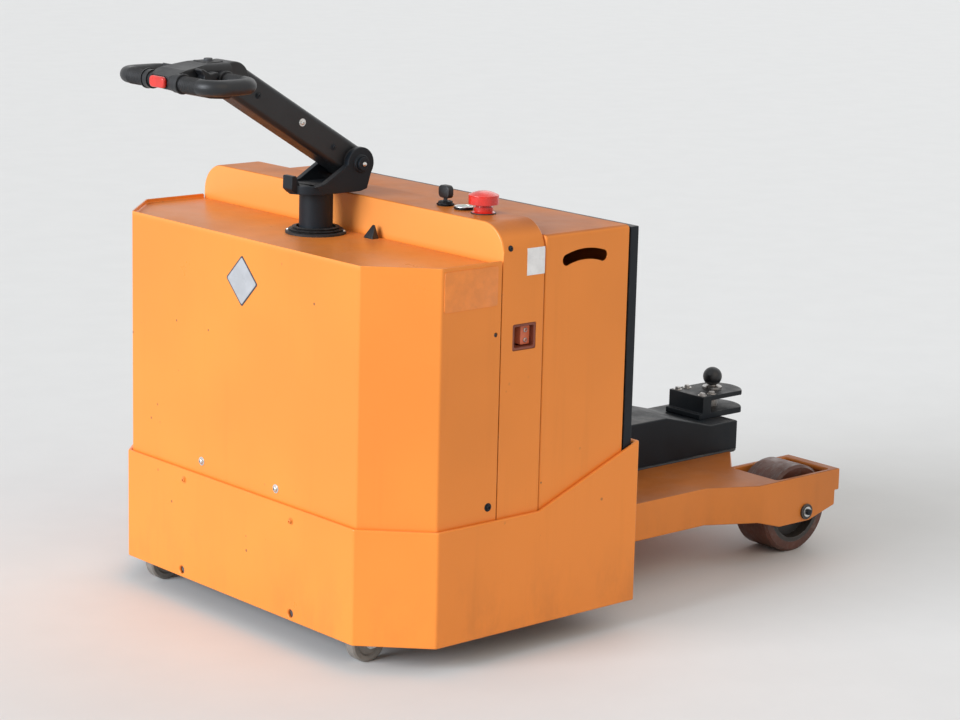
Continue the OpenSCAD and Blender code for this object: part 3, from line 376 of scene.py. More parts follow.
def zinc():
    """Zinc plated steel: spangle, rolling streaks and a little white and brown bloom."""
    dull, clean, bloomed = (0.60, 0.60, 0.57), (0.74, 0.74, 0.73), (0.36, 0.34, 0.30)
    look = Look("zinc_plate", metallic=1.0)
    bloom = look.band(look.noise(70, 6, 0.7), 0.56, 0.72)
    color = look.blend(look.band(look.cells(240), 0.1, 0.7), dull, clean)
    color = look.blend(look.times(bloom, 0.45), color, bloomed)
    spots = look.band(look.noise(150, 5, 0.75), 0.66, 0.73)
    color = look.blend(look.times(spots, 0.6), color, RUST)
    rough = look.band(look.noise(46, 4, 0.6, stretch=(1, 1, 6)), 0.3, 0.72, 0.26, 0.50)
    look.bump(look.noise(330, 3, 0.6), 0.0002, 0.5)
    return look.finish(color, rough)


def worn_steel():
    """Bare machined steel, greased and browned."""
    bright, browned = (0.47, 0.46, 0.45), (0.17, 0.115, 0.075)
    look = Look("worn_steel", metallic=1.0)
    stain = look.band(look.noise(38, 6, 0.7), 0.42, 0.70)
    color = look.blend(look.times(stain, 0.75), bright, browned)
    rough = look.band(look.noise(90, 5, 0.65), 0.3, 0.75, 0.24, 0.55)
    look.bump(look.noise(1, 4, 0.6, stretch=(60, 60, 1500)), 0.0001, 0.5)
    return look.finish(color, rough)


def machine_paint(name, base):
    """Enamel over rough cast iron, which shows where it is rubbed."""
    iron = (0.30, 0.29, 0.28)
    look = Look(name)
    color = look.blend(look.band(look.noise(9, 4, 0.6), 0.3, 0.7), shade(base, 0.75), shade(base, 1.2))
    color = aged(look, color, dust=0.22, grime=0.5)
    rubbed = look.times(look.edges(0.003), look.band(look.noise(50, 6, 0.7), 0.45, 0.62))
    color = look.blend(look.times(rubbed, 0.55), color, iron)
    look.bump(look.noise(210, 5, 0.65), 0.0009, 0.5)
    return look.finish(color, look.band(look.noise(30, 4), 0.3, 0.7, 0.42, 0.62))


def rubber(name, base, dust, gloss=0.62):
    """Rubber with floor dust pressed into it."""
    pressed_in = (0.20, 0.175, 0.15)
    look = Look(name)
    tone = look.blend(look.band(look.noise(34, 5, 0.65), 0.35, 0.7), shade(base, 0.8), shade(base, 1.35))
    marks = look.times(look.band(look.noise(70, 6, 0.72, distortion=0.6), 0.50, 0.70), dust)
    tone = look.blend(marks, tone, pressed_in)
    look.bump(look.noise(260, 5, 0.7), 0.0007, 0.6)
    return look.finish(tone, look.band(look.noise(55, 4), 0.3, 0.7, gloss, gloss + 0.2))


def urethane(name, base):
    """Cast polyurethane with a faint shine, scuffed on the tread."""
    scuffed = (0.17, 0.145, 0.125)
    look = Look(name, coat=0.08, coat_roughness=0.3)
    tone = look.blend(look.band(look.noise(16, 4, 0.55), 0.3, 0.7), shade(base, 0.78), shade(base, 1.25))
    scuff = look.times(look.band(look.noise(1, 6, 0.72, stretch=(60, 240, 60)), 0.50, 0.68), 0.5)
    tone = look.blend(scuff, tone, scuffed)
    look.bump(look.noise(190, 4, 0.6), 0.0006, 0.45)
    return look.finish(tone, look.band(look.noise(60, 4), 0.3, 0.7, 0.36, 0.6))


def plastic(name, base, rough, grain, coat=0.0):
    """Moulded plastic with a fine spark-eroded grain and handling marks."""
    paled = tuple(0.75 * channel + 0.10 for channel in base)
    look = Look(name, coat=coat, coat_roughness=0.1)
    tone = look.blend(look.band(look.noise(20, 4, 0.6), 0.3, 0.7), shade(base, 0.85), shade(base, 1.25))
    rubbed = look.times(look.edges(0.0025), look.band(look.noise(55, 5, 0.7), 0.42, 0.65))
    tone = look.blend(look.times(rubbed, 0.30), tone, paled)
    smear = look.band(look.noise(17, 6, 0.65), 0.34, 0.72, rough, rough + 0.14)
    look.bump(look.cells(1100), 0.00022, grain)
    return look.finish(tone, smear)


def label_paint(name, base, rough=0.38):
    """A printed plate's plain ground, a little faded and finger marked."""
    look = Look(name, coat=0.2, coat_roughness=0.2)
    tone = look.blend(look.band(look.noise(38, 5, 0.6), 0.35, 0.7), shade(base, 0.90), shade(base, 1.03))
    scuff = look.times(look.band(look.noise(120, 5, 0.7), 0.58, 0.72), 0.25)
    tone = look.blend(scuff, tone, shade(base, 0.62))
    look.bump(look.noise(300, 3), 0.0001, 0.4)
    return look.finish(tone, look.band(look.noise(40, 4), 0.3, 0.7, rough - 0.08, rough + 0.1))


def weld_metal(name, base):
    """Painted weld: the coat gathers between the ripples."""
    look = Look(name, coat=0.15, coat_roughness=0.2)
    tone = look.blend(look.band(look.noise(160, 4, 0.6), 0.35, 0.7), shade(base, 0.70), shade(base, 1.02))
    tone = aged(look, tone, dust=0.2, grime=0.4)
    look.bump(look.noise(700, 4, 0.6), 0.0005, 0.6)
    return look.finish(tone, look.band(look.noise(90, 3), 0.3, 0.7, 0.34, 0.5))


def floor_paint():
    """The studio floor's pale, nearly even grey."""
    darker, paler = (0.745, 0.75, 0.745), (0.76, 0.765, 0.76)
    look = Look("studio_floor")
    tone = look.blend(look.band(look.noise(7, 4, 0.6), 0.3, 0.7), darker, paler)
    return look.finish(tone, 0.75)


# CAD nodes: edges and finishes

def edge_facts(mesh):
    """Each vertex's rounded place as a key, a point for each key, and the faces along each edge."""
    keys = [tuple(round(c, 5) for c in v.co) for v in mesh.vertices]
    spots = {}
    for key, vertex in zip(keys, mesh.vertices):
        spots.setdefault(key, vertex.co.copy())
    sides = {}
    for face in mesh.polygons:
        corners = [keys[v] for v in face.vertices]
        for a, b in zip(corners, corners[1:] + corners[:1]):
            if a != b:
                sides.setdefault((min(a, b), max(a, b)), []).append(face.index)
    return keys, spots, sides


def flat_groups(mesh, sides):
    """Numbers the faces so that neighbours in one plane share a number."""
    parent = list(range(len(mesh.polygons)))

    def root(i):
        while parent[i] != i:
            parent[i] = parent[parent[i]]
            i = parent[i]
        return i

    for faces in sides.values():
        if len(faces) == 2:
            f, g = (mesh.polygons[i] for i in faces)
            if f.normal.angle(g.normal, math.pi) < IN_PLANE:
                parent[root(f.index)] = root(g.index)
    return [root(i) for i in range(len(parent))]


def room_across(a, b, normal, rim, limit):
    """How far a flat face runs from its edge a-b before it meets its own rim again, up to a limit."""
    along = (b - a).normalized()
    across = normal.cross(along)
    room = limit
    for start in (a.lerp(b, 0.15), a.lerp(b, 0.5), a.lerp(b, 0.85)):
        for p, q in rim:
            ps, qs = p - start, q - start
            pu, qu = ps.dot(along), qs.dot(along)
            if pu * qu > 0 or abs(pu - qu) < 1e-9:
                continue
            v = ps.dot(across) + (qs.dot(across) - ps.dot(across)) * pu / (pu - qu)
            if abs(v) > ON_THE_EDGE:
                room = min(room, abs(v))
    return room


def sharp_edges(mesh, sides):
    """The edges whose two faces meet at a sharp angle, each with those faces."""
    sharp = {}
    for edge, faces in sides.items():
        if len(faces) == 2:
            f, g = (mesh.polygons[i] for i in faces)
            if f.normal.angle(g.normal, 0.0) > SHARP:
                sharp[edge] = (f, g)
    return sharp


def bevel_widths(mesh, spots, sides, width):
    """The bevel width that each sharp edge has room for, up to the width asked for."""
    groups = flat_groups(mesh, sides)
    rims = {}
    for (a, b), faces in sides.items():
        if len(faces) != 2 or groups[faces[0]] != groups[faces[1]]:
            for i in faces:
                rims.setdefault(groups[i], []).append((spots[a], spots[b]))
    sharp = sharp_edges(mesh, sides)
    meeting = {}
    for a, b in sharp:
        meeting.setdefault(a, []).append(b)
        meeting.setdefault(b, []).append(a)
    widths = {}
    for (a, b), faces in sharp.items():
        best = width
        for face in faces:
            rim = rims[groups[face.index]]
            room = room_across(spots[a], spots[b], face.normal, rim, ROOM_LOOKED_AT * width)
            best = min(best, room * SHARE_OF_ROOM)
        line = (spots[b] - spots[a]).normalized()
        for end, other in ((a, b), (b, a)):
            for far in meeting[end]:
                branch = spots[far] - spots[end]
                if far != other and abs(branch.normalized().dot(line)) < STRAIGHT_ON:
                    best = min(best, branch.length * SHARE_OF_BRANCH)
        widths[(a, b)] = best
    return widths


def mark_edges(mesh, width):
    """Writes each sharp edge's share of the bevel width, and which edges stay sharp."""
    keys, spots, sides = edge_facts(mesh)
    widths = bevel_widths(mesh, spots, sides, width)
    weight = mesh.attributes.new("bevel_weight_edge", "FLOAT", "EDGE")
    crease = mesh.attributes.get("sharp_edge") or mesh.attributes.new("sharp_edge", "BOOLEAN", "EDGE")
    for edge in mesh.edges:
        a, b = (keys[v] for v in edge.vertices)
        chosen = widths.get((min(a, b), max(a, b)))
        if chosen is not None:
            weight.data[edge.index].value = chosen / width
            crease.data[edge.index].value = chosen < TOO_NARROW


def soften(node, width):
    """Rounds a CAD node's sharp edges with modifiers. The node's own vertices stay where they are."""
    mesh = node.data
    mark_edges(mesh, width)
    if "custom_normal" in mesh.attributes:
        mesh.attributes.remove(mesh.attributes["custom_normal"])
    mesh.polygons.foreach_set("use_smooth", [True] * len(mesh.polygons))
    weld = node.modifiers.new("weld", "WELD")
    weld.merge_threshold = 1e-5
    plain = node.modifiers.new("flats", "DECIMATE")
    plain.decimate_type = "DISSOLVE"
    plain.angle_limit = math.radians(0.4)
    plain.delimit = {"SHARP"}
    bevel = node.modifiers.new("edges", "BEVEL")
    bevel.width = width
    bevel.segments = 2
    bevel.limit_method = "WEIGHT"
    bevel.use_clamp_overlap = False
    bevel.loop_slide = False
    bevel.miter_outer = "MITER_SHARP"
    even = node.modifiers.new("shading", "WEIGHTED_NORMAL")
    even.keep_sharp = True
    even.weight = 100


def dress(name, material, width=0.0):
    """Gives a CAD node its finish and, where a width is given, its rounded edges."""
    node = NODES[name]
    if not node.data.materials:
        node.data.materials.append(material)
    for index in range(len(node.data.materials)):
        node.data.materials[index] = material
    if width:
        soften(node, width)


# Mesh helpers

def facing(place, normal, turn=0.0):
    """A matrix with its z axis along a normal at a place, turned about that axis."""
    normal = Vector(normal).normalized()
    across = Vector(UP).cross(normal)
    if across.length < 1e-4:
        across = Vector(LEFTWARD)
    across.normalize()
    up = normal.cross(across)
    basis = Matrix((across, up, normal)).transposed().to_4x4()
    return Matrix.Translation(place) @ basis @ Matrix.Rotation(turn, 4, "Z")


def bridge(bm, ring_a, ring_b):
    """Faces between two rings of equal count."""
    count = len(ring_a)
    for i in range(count):
        j = (i + 1) % count
        bm.faces.new((ring_a[i], ring_a[j], ring_b[j], ring_b[i]))


def cap(bm, ring, flip=False):
    bm.faces.new(ring[::-1] if flip else ring)


def skin(bm, rings, end_cap=True):
    """Joins rings in a row and closes the first and, if asked for, the last."""
    for a, b in zip(rings, rings[1:]):
        bridge(bm, a, b)
    cap(bm, rings[0], flip=True)
    if end_cap:
        cap(bm, rings[-1])


def ring_at(bm, place, z, reach, count):
    """A ring of vertices about the place's z axis. The reach is a number, or a function of the angle."""
    ring = []
    for i in range(count):
        a = TAU * i / count
        r = reach(a) if callable(reach) else reach
        ring.append(bm.verts.new(place @ Vector((r * math.cos(a), r * math.sin(a), z))))
    return ring


def lathe(bm, place, profile, count=24, end_cap=True):
    """Turns a profile of (radius, height) pairs about the place's z axis."""
    rings = [ring_at(bm, place, z, r, count) for r, z in profile]
    skin(bm, rings, end_cap=end_cap)
    return rings


def ring_torus(bm, place, radius, thickness, count=32, sides=10):
    """A round ring about the place's z axis."""
    rings = []
    for i in range(count):
        a = TAU * i / count
        ring = []
        for k in range(sides):
            b = TAU * k / sides
            r = radius + thickness * math.cos(b)
            spot = Vector((r * math.cos(a), r * math.sin(a), thickness * math.sin(b)))
            ring.append(bm.verts.new(place @ spot))
        rings.append(ring)
    for i in range(count):
        bridge(bm, rings[i], rings[(i + 1) % count])


def rounded(width, height, radius):
    """The outline of a rectangle with round corners."""
    radius = min(radius, width / 2 - 1e-5, height / 2 - 1e-5)
    points = []
    for cx, cy, start in ((1, 1, 0), (-1, 1, 1), (-1, -1, 2), (1, -1, 3)):
        for k in range(CORNER_STEPS + 1):
            a = (start + k / CORNER_STEPS) * math.pi / 2
            points.append((cx * (width / 2 - radius) + radius * math.cos(a),
                           cy * (height / 2 - radius) + radius * math.sin(a)))
    return points


def slab(bm, place, width, height, radius, thickness, edge, sink=0.0004):
    """A plate with round corners and an eased rim, let a little into what it lies on."""
    levels = ((0, -sink), (0, thickness - edge), (0.3 * edge, thickness - 0.3 * edge), (edge, thickness))
    rings = []
    for inset, z in levels:
        outline = rounded(width - 2 * inset, height - 2 * inset, max(radius - inset, 0.0002))
        rings.append([bm.verts.new(place @ Vector((x, y, z))) for x, y in outline])
    skin(bm, rings)


def sweep(bm, path, radius, sides=10):
    """A tube along points. The radius is a function of the share of the way along."""
    turns = [(math.cos(TAU * k / sides), math.sin(TAU * k / sides)) for k in range(sides)]
    rings = []
    side = (path[1] - path[0]).normalized().orthogonal().normalized()
    for i, point in enumerate(path):
        ahead = (path[min(i + 1, len(path) - 1)] - path[max(i - 1, 0)]).normalized()
        side = (side - ahead * side.dot(ahead)).normalized()
        other = ahead.cross(side)
        r = radius(i / (len(path) - 1))
        rings.append([bm.verts.new(point + (side * c + other * s) * r) for c, s in turns])
    skin(bm, rings)


def hexagon(angle):
    """How far a hexagon with a corner radius of 1 reaches at an angle."""
    off = (angle + math.pi / 6) % (math.pi / 3) - math.pi / 6
    return HEX_FLAT / math.cos(off)


def socket_screw(bm, place, r):
    """A button head screw on a washer, with a hexagon socket."""
    head = [(1.55 * r, -0.15 * r), (1.62 * r, 0.10 * r), (1.55 * r, 0.2 * r), (r, 0.2 * r), (r, 0.34 * r),
            (0.93 * r, 0.60 * r), (0.76 * r, 0.80 * r), (0.58 * r, 0.88 * r)]
    rings = lathe(bm, place, head, end_cap=False)
    rim = ring_at(bm, place, 0.88 * r, lambda a: 0.46 * r * hexagon(a), 24)
    low = ring_at(bm, place, 0.38 * r, lambda a: 0.44 * r * hexagon(a), 24)
    bridge(bm, rings[-1], rim)
    bridge(bm, rim, low)
    cap(bm, low)


def hex_bolt(bm, place, r, washer=True):
    """A hexagon head of corner radius r, with its chamfer and washer."""
    base = 0.0
    if washer:
        lathe(bm, place, [(1.5 * r, -0.1 * r), (1.56 * r, 0.08 * r), (1.5 * r, 0.2 * r), (0.6 * r, 0.2 * r)])
        base = 0.2 * r
    # Reach and height as shares of the radius, and how far the corners are turned round
    levels = ((1, -0.05, 0), (1, 0.62, 0), (0.97, 0.72, 0.55), (0.86, 0.78, 1))
    rings = []
    for reach, z, turned in levels:
        rings.append(ring_at(bm, place, base + z * r,
                             lambda a: reach * r * (hexagon(a) * (1 - turned) + HEX_FLAT * turned), 24))
    skin(bm, rings)


def weld_bead(bm, start, end, r):
    """A rippled fillet of weld along a corner."""
    pitch = 0.0035
    start, end = Vector(start), Vector(end)
    length = (end - start).length
    steps = max(8, int(length / pitch * 3))
    path = [start.lerp(end, i / steps) for i in range(steps + 1)]

    def size(share):
        wave = 0.5 + 0.5 * math.cos(TAU * share * length / pitch)
        drift = math.sin(share * length * 71) * 0.06 + math.sin(share * length * 173) * 0.05
        taper = min(1.0, 0.45 + share * length / (3 * r), 0.45 + (1 - share) * length / (3 * r))
        return r * taper * (0.88 + 0.12 * wave + drift)

    sweep(bm, path, size, sides=8)


def piece(name, bm, body, material):
    """Turns a bmesh into a piece that rides on a body."""
    bmesh.ops.recalc_face_normals(bm, faces=bm.faces)
    mesh = bpy.data.meshes.new(name)
    bm.to_mesh(mesh)
    bm.free()
    mesh.polygons.foreach_set("use_smooth", [True] * len(mesh.polygons))
    mesh.set_sharp_from_angle(angle=SMOOTH_UNDER)
    mesh.materials.append(material)
    obj = bpy.data.objects.new(name, mesh)
    bpy.context.scene.collection.objects.link(obj)
    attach(obj, body)
    return obj


# Build

make_camera()
make_world()
for lamp_row in LAMPS:
    far_lamp(*lamp_row)

ORANGE = orange_paint()
BLACK = black_paint()
ZINC = zinc()
STEEL = worn_steel()
GREY = machine_paint("cast_grey_enamel", (0.105, 0.112, 0.118))
HUB = machine_paint("cast_hub_enamel", (0.040, 0.036, 0.034))
TYRE = rubber("drive_tyre_rubber", (0.018, 0.018, 0.019), 0.5)
BOOT = rubber("boot_rubber_moulded", (0.014, 0.014, 0.015), 0.22, 0.55)
GRIP = rubber("grip_rubber", (0.010, 0.010, 0.011), 0.12, 0.5)
RED_WHEEL = urethane("polyurethane_red_brown", (0.095, 0.030, 0.017))
GREY_WHEEL = urethane("polyurethane_grey", (0.24, 0.22, 0.195))
TILLER = plastic("tiller_moulding", (0.008, 0.009, 0.011), 0.38, 0.45)
RED = plastic("red_moulding", (0.62, 0.022, 0.014), 0.22, 0.12, coat=0.4)
CASE = plastic("battery_moulding", (0.045, 0.047, 0.052), 0.5, 0.4)
SOCKET = plastic("socket_moulding", (0.20, 0.050, 0.026), 0.42, 0.3)
COPPER_PART = plastic("socket_red_insert", (0.62, 0.15, 0.07), 0.36, 0.2)
PALE_PLATE = label_paint("pale_plate", (0.42, 0.43, 0.45))
WHITE_PLATE = label_paint("white_plate", (0.86, 0.87, 0.88), 0.30)
DARK_RIM = label_paint("dark_rim", (0.035, 0.04, 0.055))
ORANGE_PLATE = label_paint("orange_plate", (0.90, 0.270, 0.038), 0.36)
LENS = plastic("gauge_lens", (0.012, 0.014, 0.016), 0.06, 0.0, coat=0.8)
GAUGE_BAR = label_paint("gauge_bar", (0.10, 0.55, 0.12), 0.3)
WELD_ORANGE = weld_metal("weld_orange", (0.87, 0.262, 0.030))
WELD_BLACK = weld_metal("weld_black", (0.012, 0.014, 0.018))

# Each CAD node's finish and the width of its rounded edges
FINISHES = {
    "chassis_skirt": (ORANGE, 0.004), "front_cover": (ORANGE, 0.0035), "console_cover": (ORANGE, 0.0035),
    "battery_cover": (ORANGE, 0.0035), "wheel_frame": (ORANGE, 0.003),
    "chassis_plate": (BLACK, 0.002), "rear_bulkhead": (BLACK, 0.002), "drawbar_box": (BLACK, 0.003),
    "hitch_jaw": (BLACK, 0.002), "hitch_pin": (STEEL, 0), "steering_bearing": (ZINC, 0.0015),
    "load_axle_left": (HUB, 0.0012), "load_axle_right": (HUB, 0.0012),
    "load_hub_left": (HUB, 0), "load_hub_right": (HUB, 0),
    "load_tyre_left": (RED_WHEEL, 0), "load_tyre_right": (RED_WHEEL, 0),
    "drive_head": (GREY, 0.002), "drive_motor": (BLACK, 0.0015),
    "drive_hub": (GREY, 0), "drive_tyre": (TYRE, 0),
    "caster_plate_left": (ZINC, 0.001), "caster_plate_right": (ZINC, 0.001),
    "caster_fork_left": (ZINC, 0.0008), "caster_fork_right": (ZINC, 0.0008),
    "caster_wheel_left": (GREY_WHEEL, 0), "caster_wheel_right": (GREY_WHEEL, 0),
    "boot_ring": (BOOT, 0), "tiller_column": (BLACK, 0.0015), "tiller_yoke": (BLACK, 0.0018),
    "pivot_pin": (BLACK, 0.001), "tiller_arm": (TILLER, 0), "tiller_head": (TILLER, 0),
    "throttle_left": (TILLER, 0.0025), "throttle_right": (TILLER, 0.0025), "belly_switch": (RED, 0.003),
    "emergency_stop_base": (RED, 0), "emergency_stop_button": (RED, 0), "key_switch": (BLACK, 0.001),
    "battery_gauge": (TILLER, 0.001), "charge_socket": (SOCKET, 0.0012), "battery_pack": (CASE, 0.004),
}
for node_name, (material, width) in FINISHES.items():
    dress(node_name, material, width)


def paint_above(name, level, material):
    """A second finish for the faces of a CAD node above a level."""
    mesh = NODES[name].data
    mesh.materials.append(material)
    index = len(mesh.materials) - 1
    for face in mesh.polygons:
        if face.center.z > level:
            face.material_index = index


KNOB_FOOT = 0.286
KEY_FOOT = 0.7905
paint_above("hitch_pin", KNOB_FOOT, TILLER)
paint_above("key_switch", KEY_FOOT, TILLER)


def body_screws():
    """Screws: bright low on the front, dark on the sides, painted on the skirt."""
    front_spots = ((-0.115, 0.282), (0.112, 0.279))
    skirt_spots = ((-0.160, 0.238), (0.167, 0.2325))
    side_x, side_z = 0.3456, 0.283
    shoulder_x = 0.3065
    lean = math.radians(13)
    shoulder_y = COVER_SIDE - CONSOLE_BEND * (1 - math.cos(lean))
    shoulder_z = CONSOLE_TOP - CONSOLE_BEND * (1 - math.sin(lean))
    bright, dark, painted = bmesh.new(), bmesh.new(), bmesh.new()
    for y, z in front_spots:
        socket_screw(bright, facing((COVER_FRONT, y, z), FORWARD, 0.3), r=0.0052)
    for side in (LEFT, RIGHT):
        out = (0, side * math.cos(lean), math.sin(lean))
        socket_screw(dark, facing((shoulder_x, side * shoulder_y, shoulder_z), out, 0.4), r=0.0034)
        socket_screw(dark, facing((side_x, side * COVER_SIDE, side_z), (0, side, 0), 0.9), r=0.0048)
    for y, z in skirt_spots:
        socket_screw(painted, facing((SKIRT_FRONT, y, z), FORWARD, 0.5), r=0.0042)
    piece("cover_screws", bright, "chassis", ZINC)
    piece("dark_cover_screws", dark, "chassis", BLACK)
    piece("painted_screws", painted, "chassis", WELD_ORANGE)


def shoulder_sheet(bm, x0, x1, low, high, thickness):
    """A thin label on the console's left side that runs up over the start of its shoulder."""
    bend_z = CONSOLE_TOP - CONSOLE_BEND
    steps, sink = 12, 0.0003
    section = ((x0, -sink), (x0, thickness), (x1, thickness), (x1, -sink))
    rows = []
    for k in range(steps + 1):
        run = low + (high - low) * k / steps
        turn = max(0.0, (run - bend_z) / CONSOLE_BEND)
        out = Vector((0, math.cos(turn), math.sin(turn)))
        face = Vector((0, COVER_SIDE - CONSOLE_BEND, min(run, bend_z))) + out * CONSOLE_BEND
        rows.append([bm.verts.new(face + Vector((x, 0, 0)) + out * level) for x, level in section])
    skin(bm, rows)


def plates():
    """Bare plates where the machine carries labels."""
    bm = bmesh.new()
    side_spot = facing((0.3961, COVER_SIDE, 0.6775), LEFTWARD)
    slab(bm, side_spot, width=0.121, height=0.070, radius=0.005, thickness=0.0011, edge=0.0004)
    piece("side_plate", bm, "chassis", ORANGE_PLATE)
    diamond = facing((COVER_FRONT, 0.007, 0.641), FORWARD, math.pi / 4)
    bm = bmesh.new()
    slab(bm, diamond, width=0.0665, height=0.0665, radius=0.004, thickness=0.0007, edge=0.0002)
    piece("diamond_rim", bm, "chassis", DARK_RIM)
    bm = bmesh.new()
    on_rim = diamond @ Matrix.Translation((0, 0, 0.0006))
    slab(bm, on_rim, width=0.0610, height=0.0610, radius=0.003, thickness=0.0005, edge=0.0002)
    piece("diamond_plate", bm, "chassis", PALE_PLATE)
    bm = bmesh.new()
    shoulder_sheet(bm, x0=0.2265, x1=0.2680, low=0.688, high=0.736, thickness=0.0006)
    piece("small_plate", bm, "chassis", WHITE_PLATE)


def lock_and_socket():
    """The panel lock's barrel and the inside of the charging socket."""
    lock_x, lock_z, lock_sink = 0.33658, 0.590, 0.0042
    barrel = [(0.0037, -0.010), (0.0037, 0.0030), (0.0034, 0.0034), (0.0030, 0.0034),
              (0.0028, 0.0026), (0.0010, 0.0026), (0.0009, 0.0006)]
    bm = bmesh.new()
    lathe(bm, facing((lock_x, COVER_SIDE - lock_sink, lock_z), LEFTWARD, 0.4), barrel, 20)
    piece("lock_barrel", bm, "chassis", HUB)
    low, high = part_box("charge_socket")
    centre = (low + high) / 2
    wall = 0.004
    floor = facing((centre.x, low.y + wall, centre.z), LEFTWARD)
    insert_x, insert_depth = 0.010, 0.029
    bm = bmesh.new()
    slab(bm, floor @ Matrix.Translation((insert_x, 0, 0)),
         width=0.022, height=0.034, radius=0.003, thickness=insert_depth, edge=0.0012)
    piece("socket_insert", bm, "chassis", COPPER_PART)
    sleeve = [(0.0042, -0.002), (0.0042, 0.0012), (0.0034, 0.0018), (0.0028, 0.0018), (0.0025, -0.001)]
    post = [(0.0045, 0), (0.0045, 0.016), (0.0038, 0.0175), (0.0016, 0.018)]
    post_x = -0.013
    bm = bmesh.new()
    for v in (0.009, -0.009):
        lathe(bm, floor @ Matrix.Translation((insert_x, v, insert_depth)), sleeve, 18)
    for v in (0.008, -0.008):
        lathe(bm, floor @ Matrix.Translation((post_x, v, 0)), post, 18)
    piece("socket_contacts", bm, "chassis", STEEL)


def console_spot(name):
    """The middle of a console control, on the console's top."""
    low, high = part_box(name)
    return Vector(((low.x + high.x) / 2, (low.y + high.y) / 2, CONSOLE_TOP))


def stop_fittings():
    """The gasket under the emergency stop and the rolled rim of its button."""
    stop = console_spot("emergency_stop_base")
    bm = bmesh.new()
    ring_torus(bm, facing(stop + Vector((0, 0, 0.0007)), UP), 0.0215, 0.0013, 40, 8)
    piece("stop_gasket", bm, "chassis", BOOT)
    # The button's top is a cap of a ball that meets its rim at this slope
    rim_slope = math.radians(30)
    low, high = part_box("emergency_stop_button")
    button_r = (high.x - low.x) / 2
    rim_z = high.z - 2 * button_r * (1 - math.cos(rim_slope))
    bm = bmesh.new()
    ring_torus(bm, facing((stop.x, stop.y, rim_z - 0.0009), UP), button_r - 0.0014, 0.0017, 56, 12)
    piece("stop_rim", bm, "chassis", RED)


def gauge_and_key():
    """The gauge's bezel, glass and bars, and the key's bow."""
    key, gauge = console_spot("key_switch"), console_spot("battery_gauge")
    bm = bmesh.new()
    ring_torus(bm, facing(gauge + Vector((0, 0, 0.0048)), UP), 0.0158, 0.0012, 36, 8)
    piece("control_bezels", bm, "chassis", ZINC)
    bow_w, bow_h, bow_t = 0.029, 0.023, 0.0115
    bow_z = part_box("key_switch")[1].z + 0.0005 - bow_h / 2
    bm = bmesh.new()
    slab(bm, facing((key.x - bow_t / 2, key.y, bow_z), FORWARD), bow_w, bow_h, 0.008, bow_t, 0.0025, sink=0.0)
    piece("key_bow", bm, "chassis", TILLER)
    dome = [(0.0149, -0.0006), (0.0149, 0.0004), (0.0120, 0.0010), (0.0060, 0.0014), (0.0010, 0.0015)]
    bm = bmesh.new()
    lathe(bm, facing(gauge + Vector((0, 0, 0.0046)), UP), dome, 32)
    piece("gauge_glass", bm, "chassis", LENS)
    bars, fan, bar_r = 8, 104, 0.0092
    bm = bmesh.new()
    for k in range(bars):
        a = math.radians(fan * (k / (bars - 1) - 0.5))
        spot = gauge + Vector((0.002 - bar_r * math.cos(a), bar_r * math.sin(a), 0.0057))
        slab(bm, facing(spot, UP, a), 0.0011, 0.0030, 0.0003, 0.0004, 0.0001, sink=0.0002)
    piece("gauge_bars", bm, "chassis", GAUGE_BAR)


def tray_fittings():
    """The boot ring's screws and the small dark tab on the tray's floor."""
    screw_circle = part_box("boot_ring")[1].x - STEER_X - 0.0046
    ring_t = 0.0043
    bm = bmesh.new()
    for degrees in (135, 315):
        a = math.radians(degrees)
        x, y = STEER_X + screw_circle * math.cos(a), screw_circle * math.sin(a)
        socket_screw(bm, facing((x, y, TRAY_FLOOR + ring_t), UP, 0.2), r=0.0029)
    piece("boot_screws", bm, "chassis", ZINC)
    base = Vector((0.342, 0.102, TRAY_FLOOR))
    half_x, half_y, foot_z, ridge_z = 0.008, 0.013, 0.003, 0.024
    ridge_x, ridge_half, sink = -0.006, 0.0035, 0.0005
    corners = [(-half_x, -half_y), (half_x, -half_y), (half_x, half_y), (-half_x, half_y)]
    bm = bmesh.new()
    lower = [bm.verts.new(base + Vector((x, y, -sink))) for x, y in corners]
    upper = [bm.verts.new(base + Vector((x * 0.9, y * 0.9, foot_z))) for x, y in corners]
    ridge = [bm.verts.new(base + Vector((ridge_x, y, ridge_z))) for y in (-ridge_half, ridge_half)]
    bridge(bm, lower, upper)
    cap(bm, lower, flip=True)
    bm.faces.new((upper[0], upper[1], ridge[0]))
    bm.faces.new((upper[1], upper[2], ridge[1], ridge[0]))
    bm.faces.new((upper[2], upper[3], ridge[1]))
    bm.faces.new((upper[3], upper[0], ridge[0], ridge[1]))
    tab = piece("tray_tab", bm, "chassis", TILLER)
    eased = tab.modifiers.new("edges", "BEVEL")
    eased.width = 0.0010
    eased.segments = 2


def along_arm(u, v=0.0, y=0.0):
    """A place u along the arm from its pivot, v above its middle line and y to the side."""
    ahead = Vector((math.cos(ARM_SLOPE), 0, math.sin(ARM_SLOPE)))
    above = Vector((-math.sin(ARM_SLOPE), 0, math.cos(ARM_SLOPE)))
    return PIVOT + ahead * u + above * v + Vector((0, y, 0))


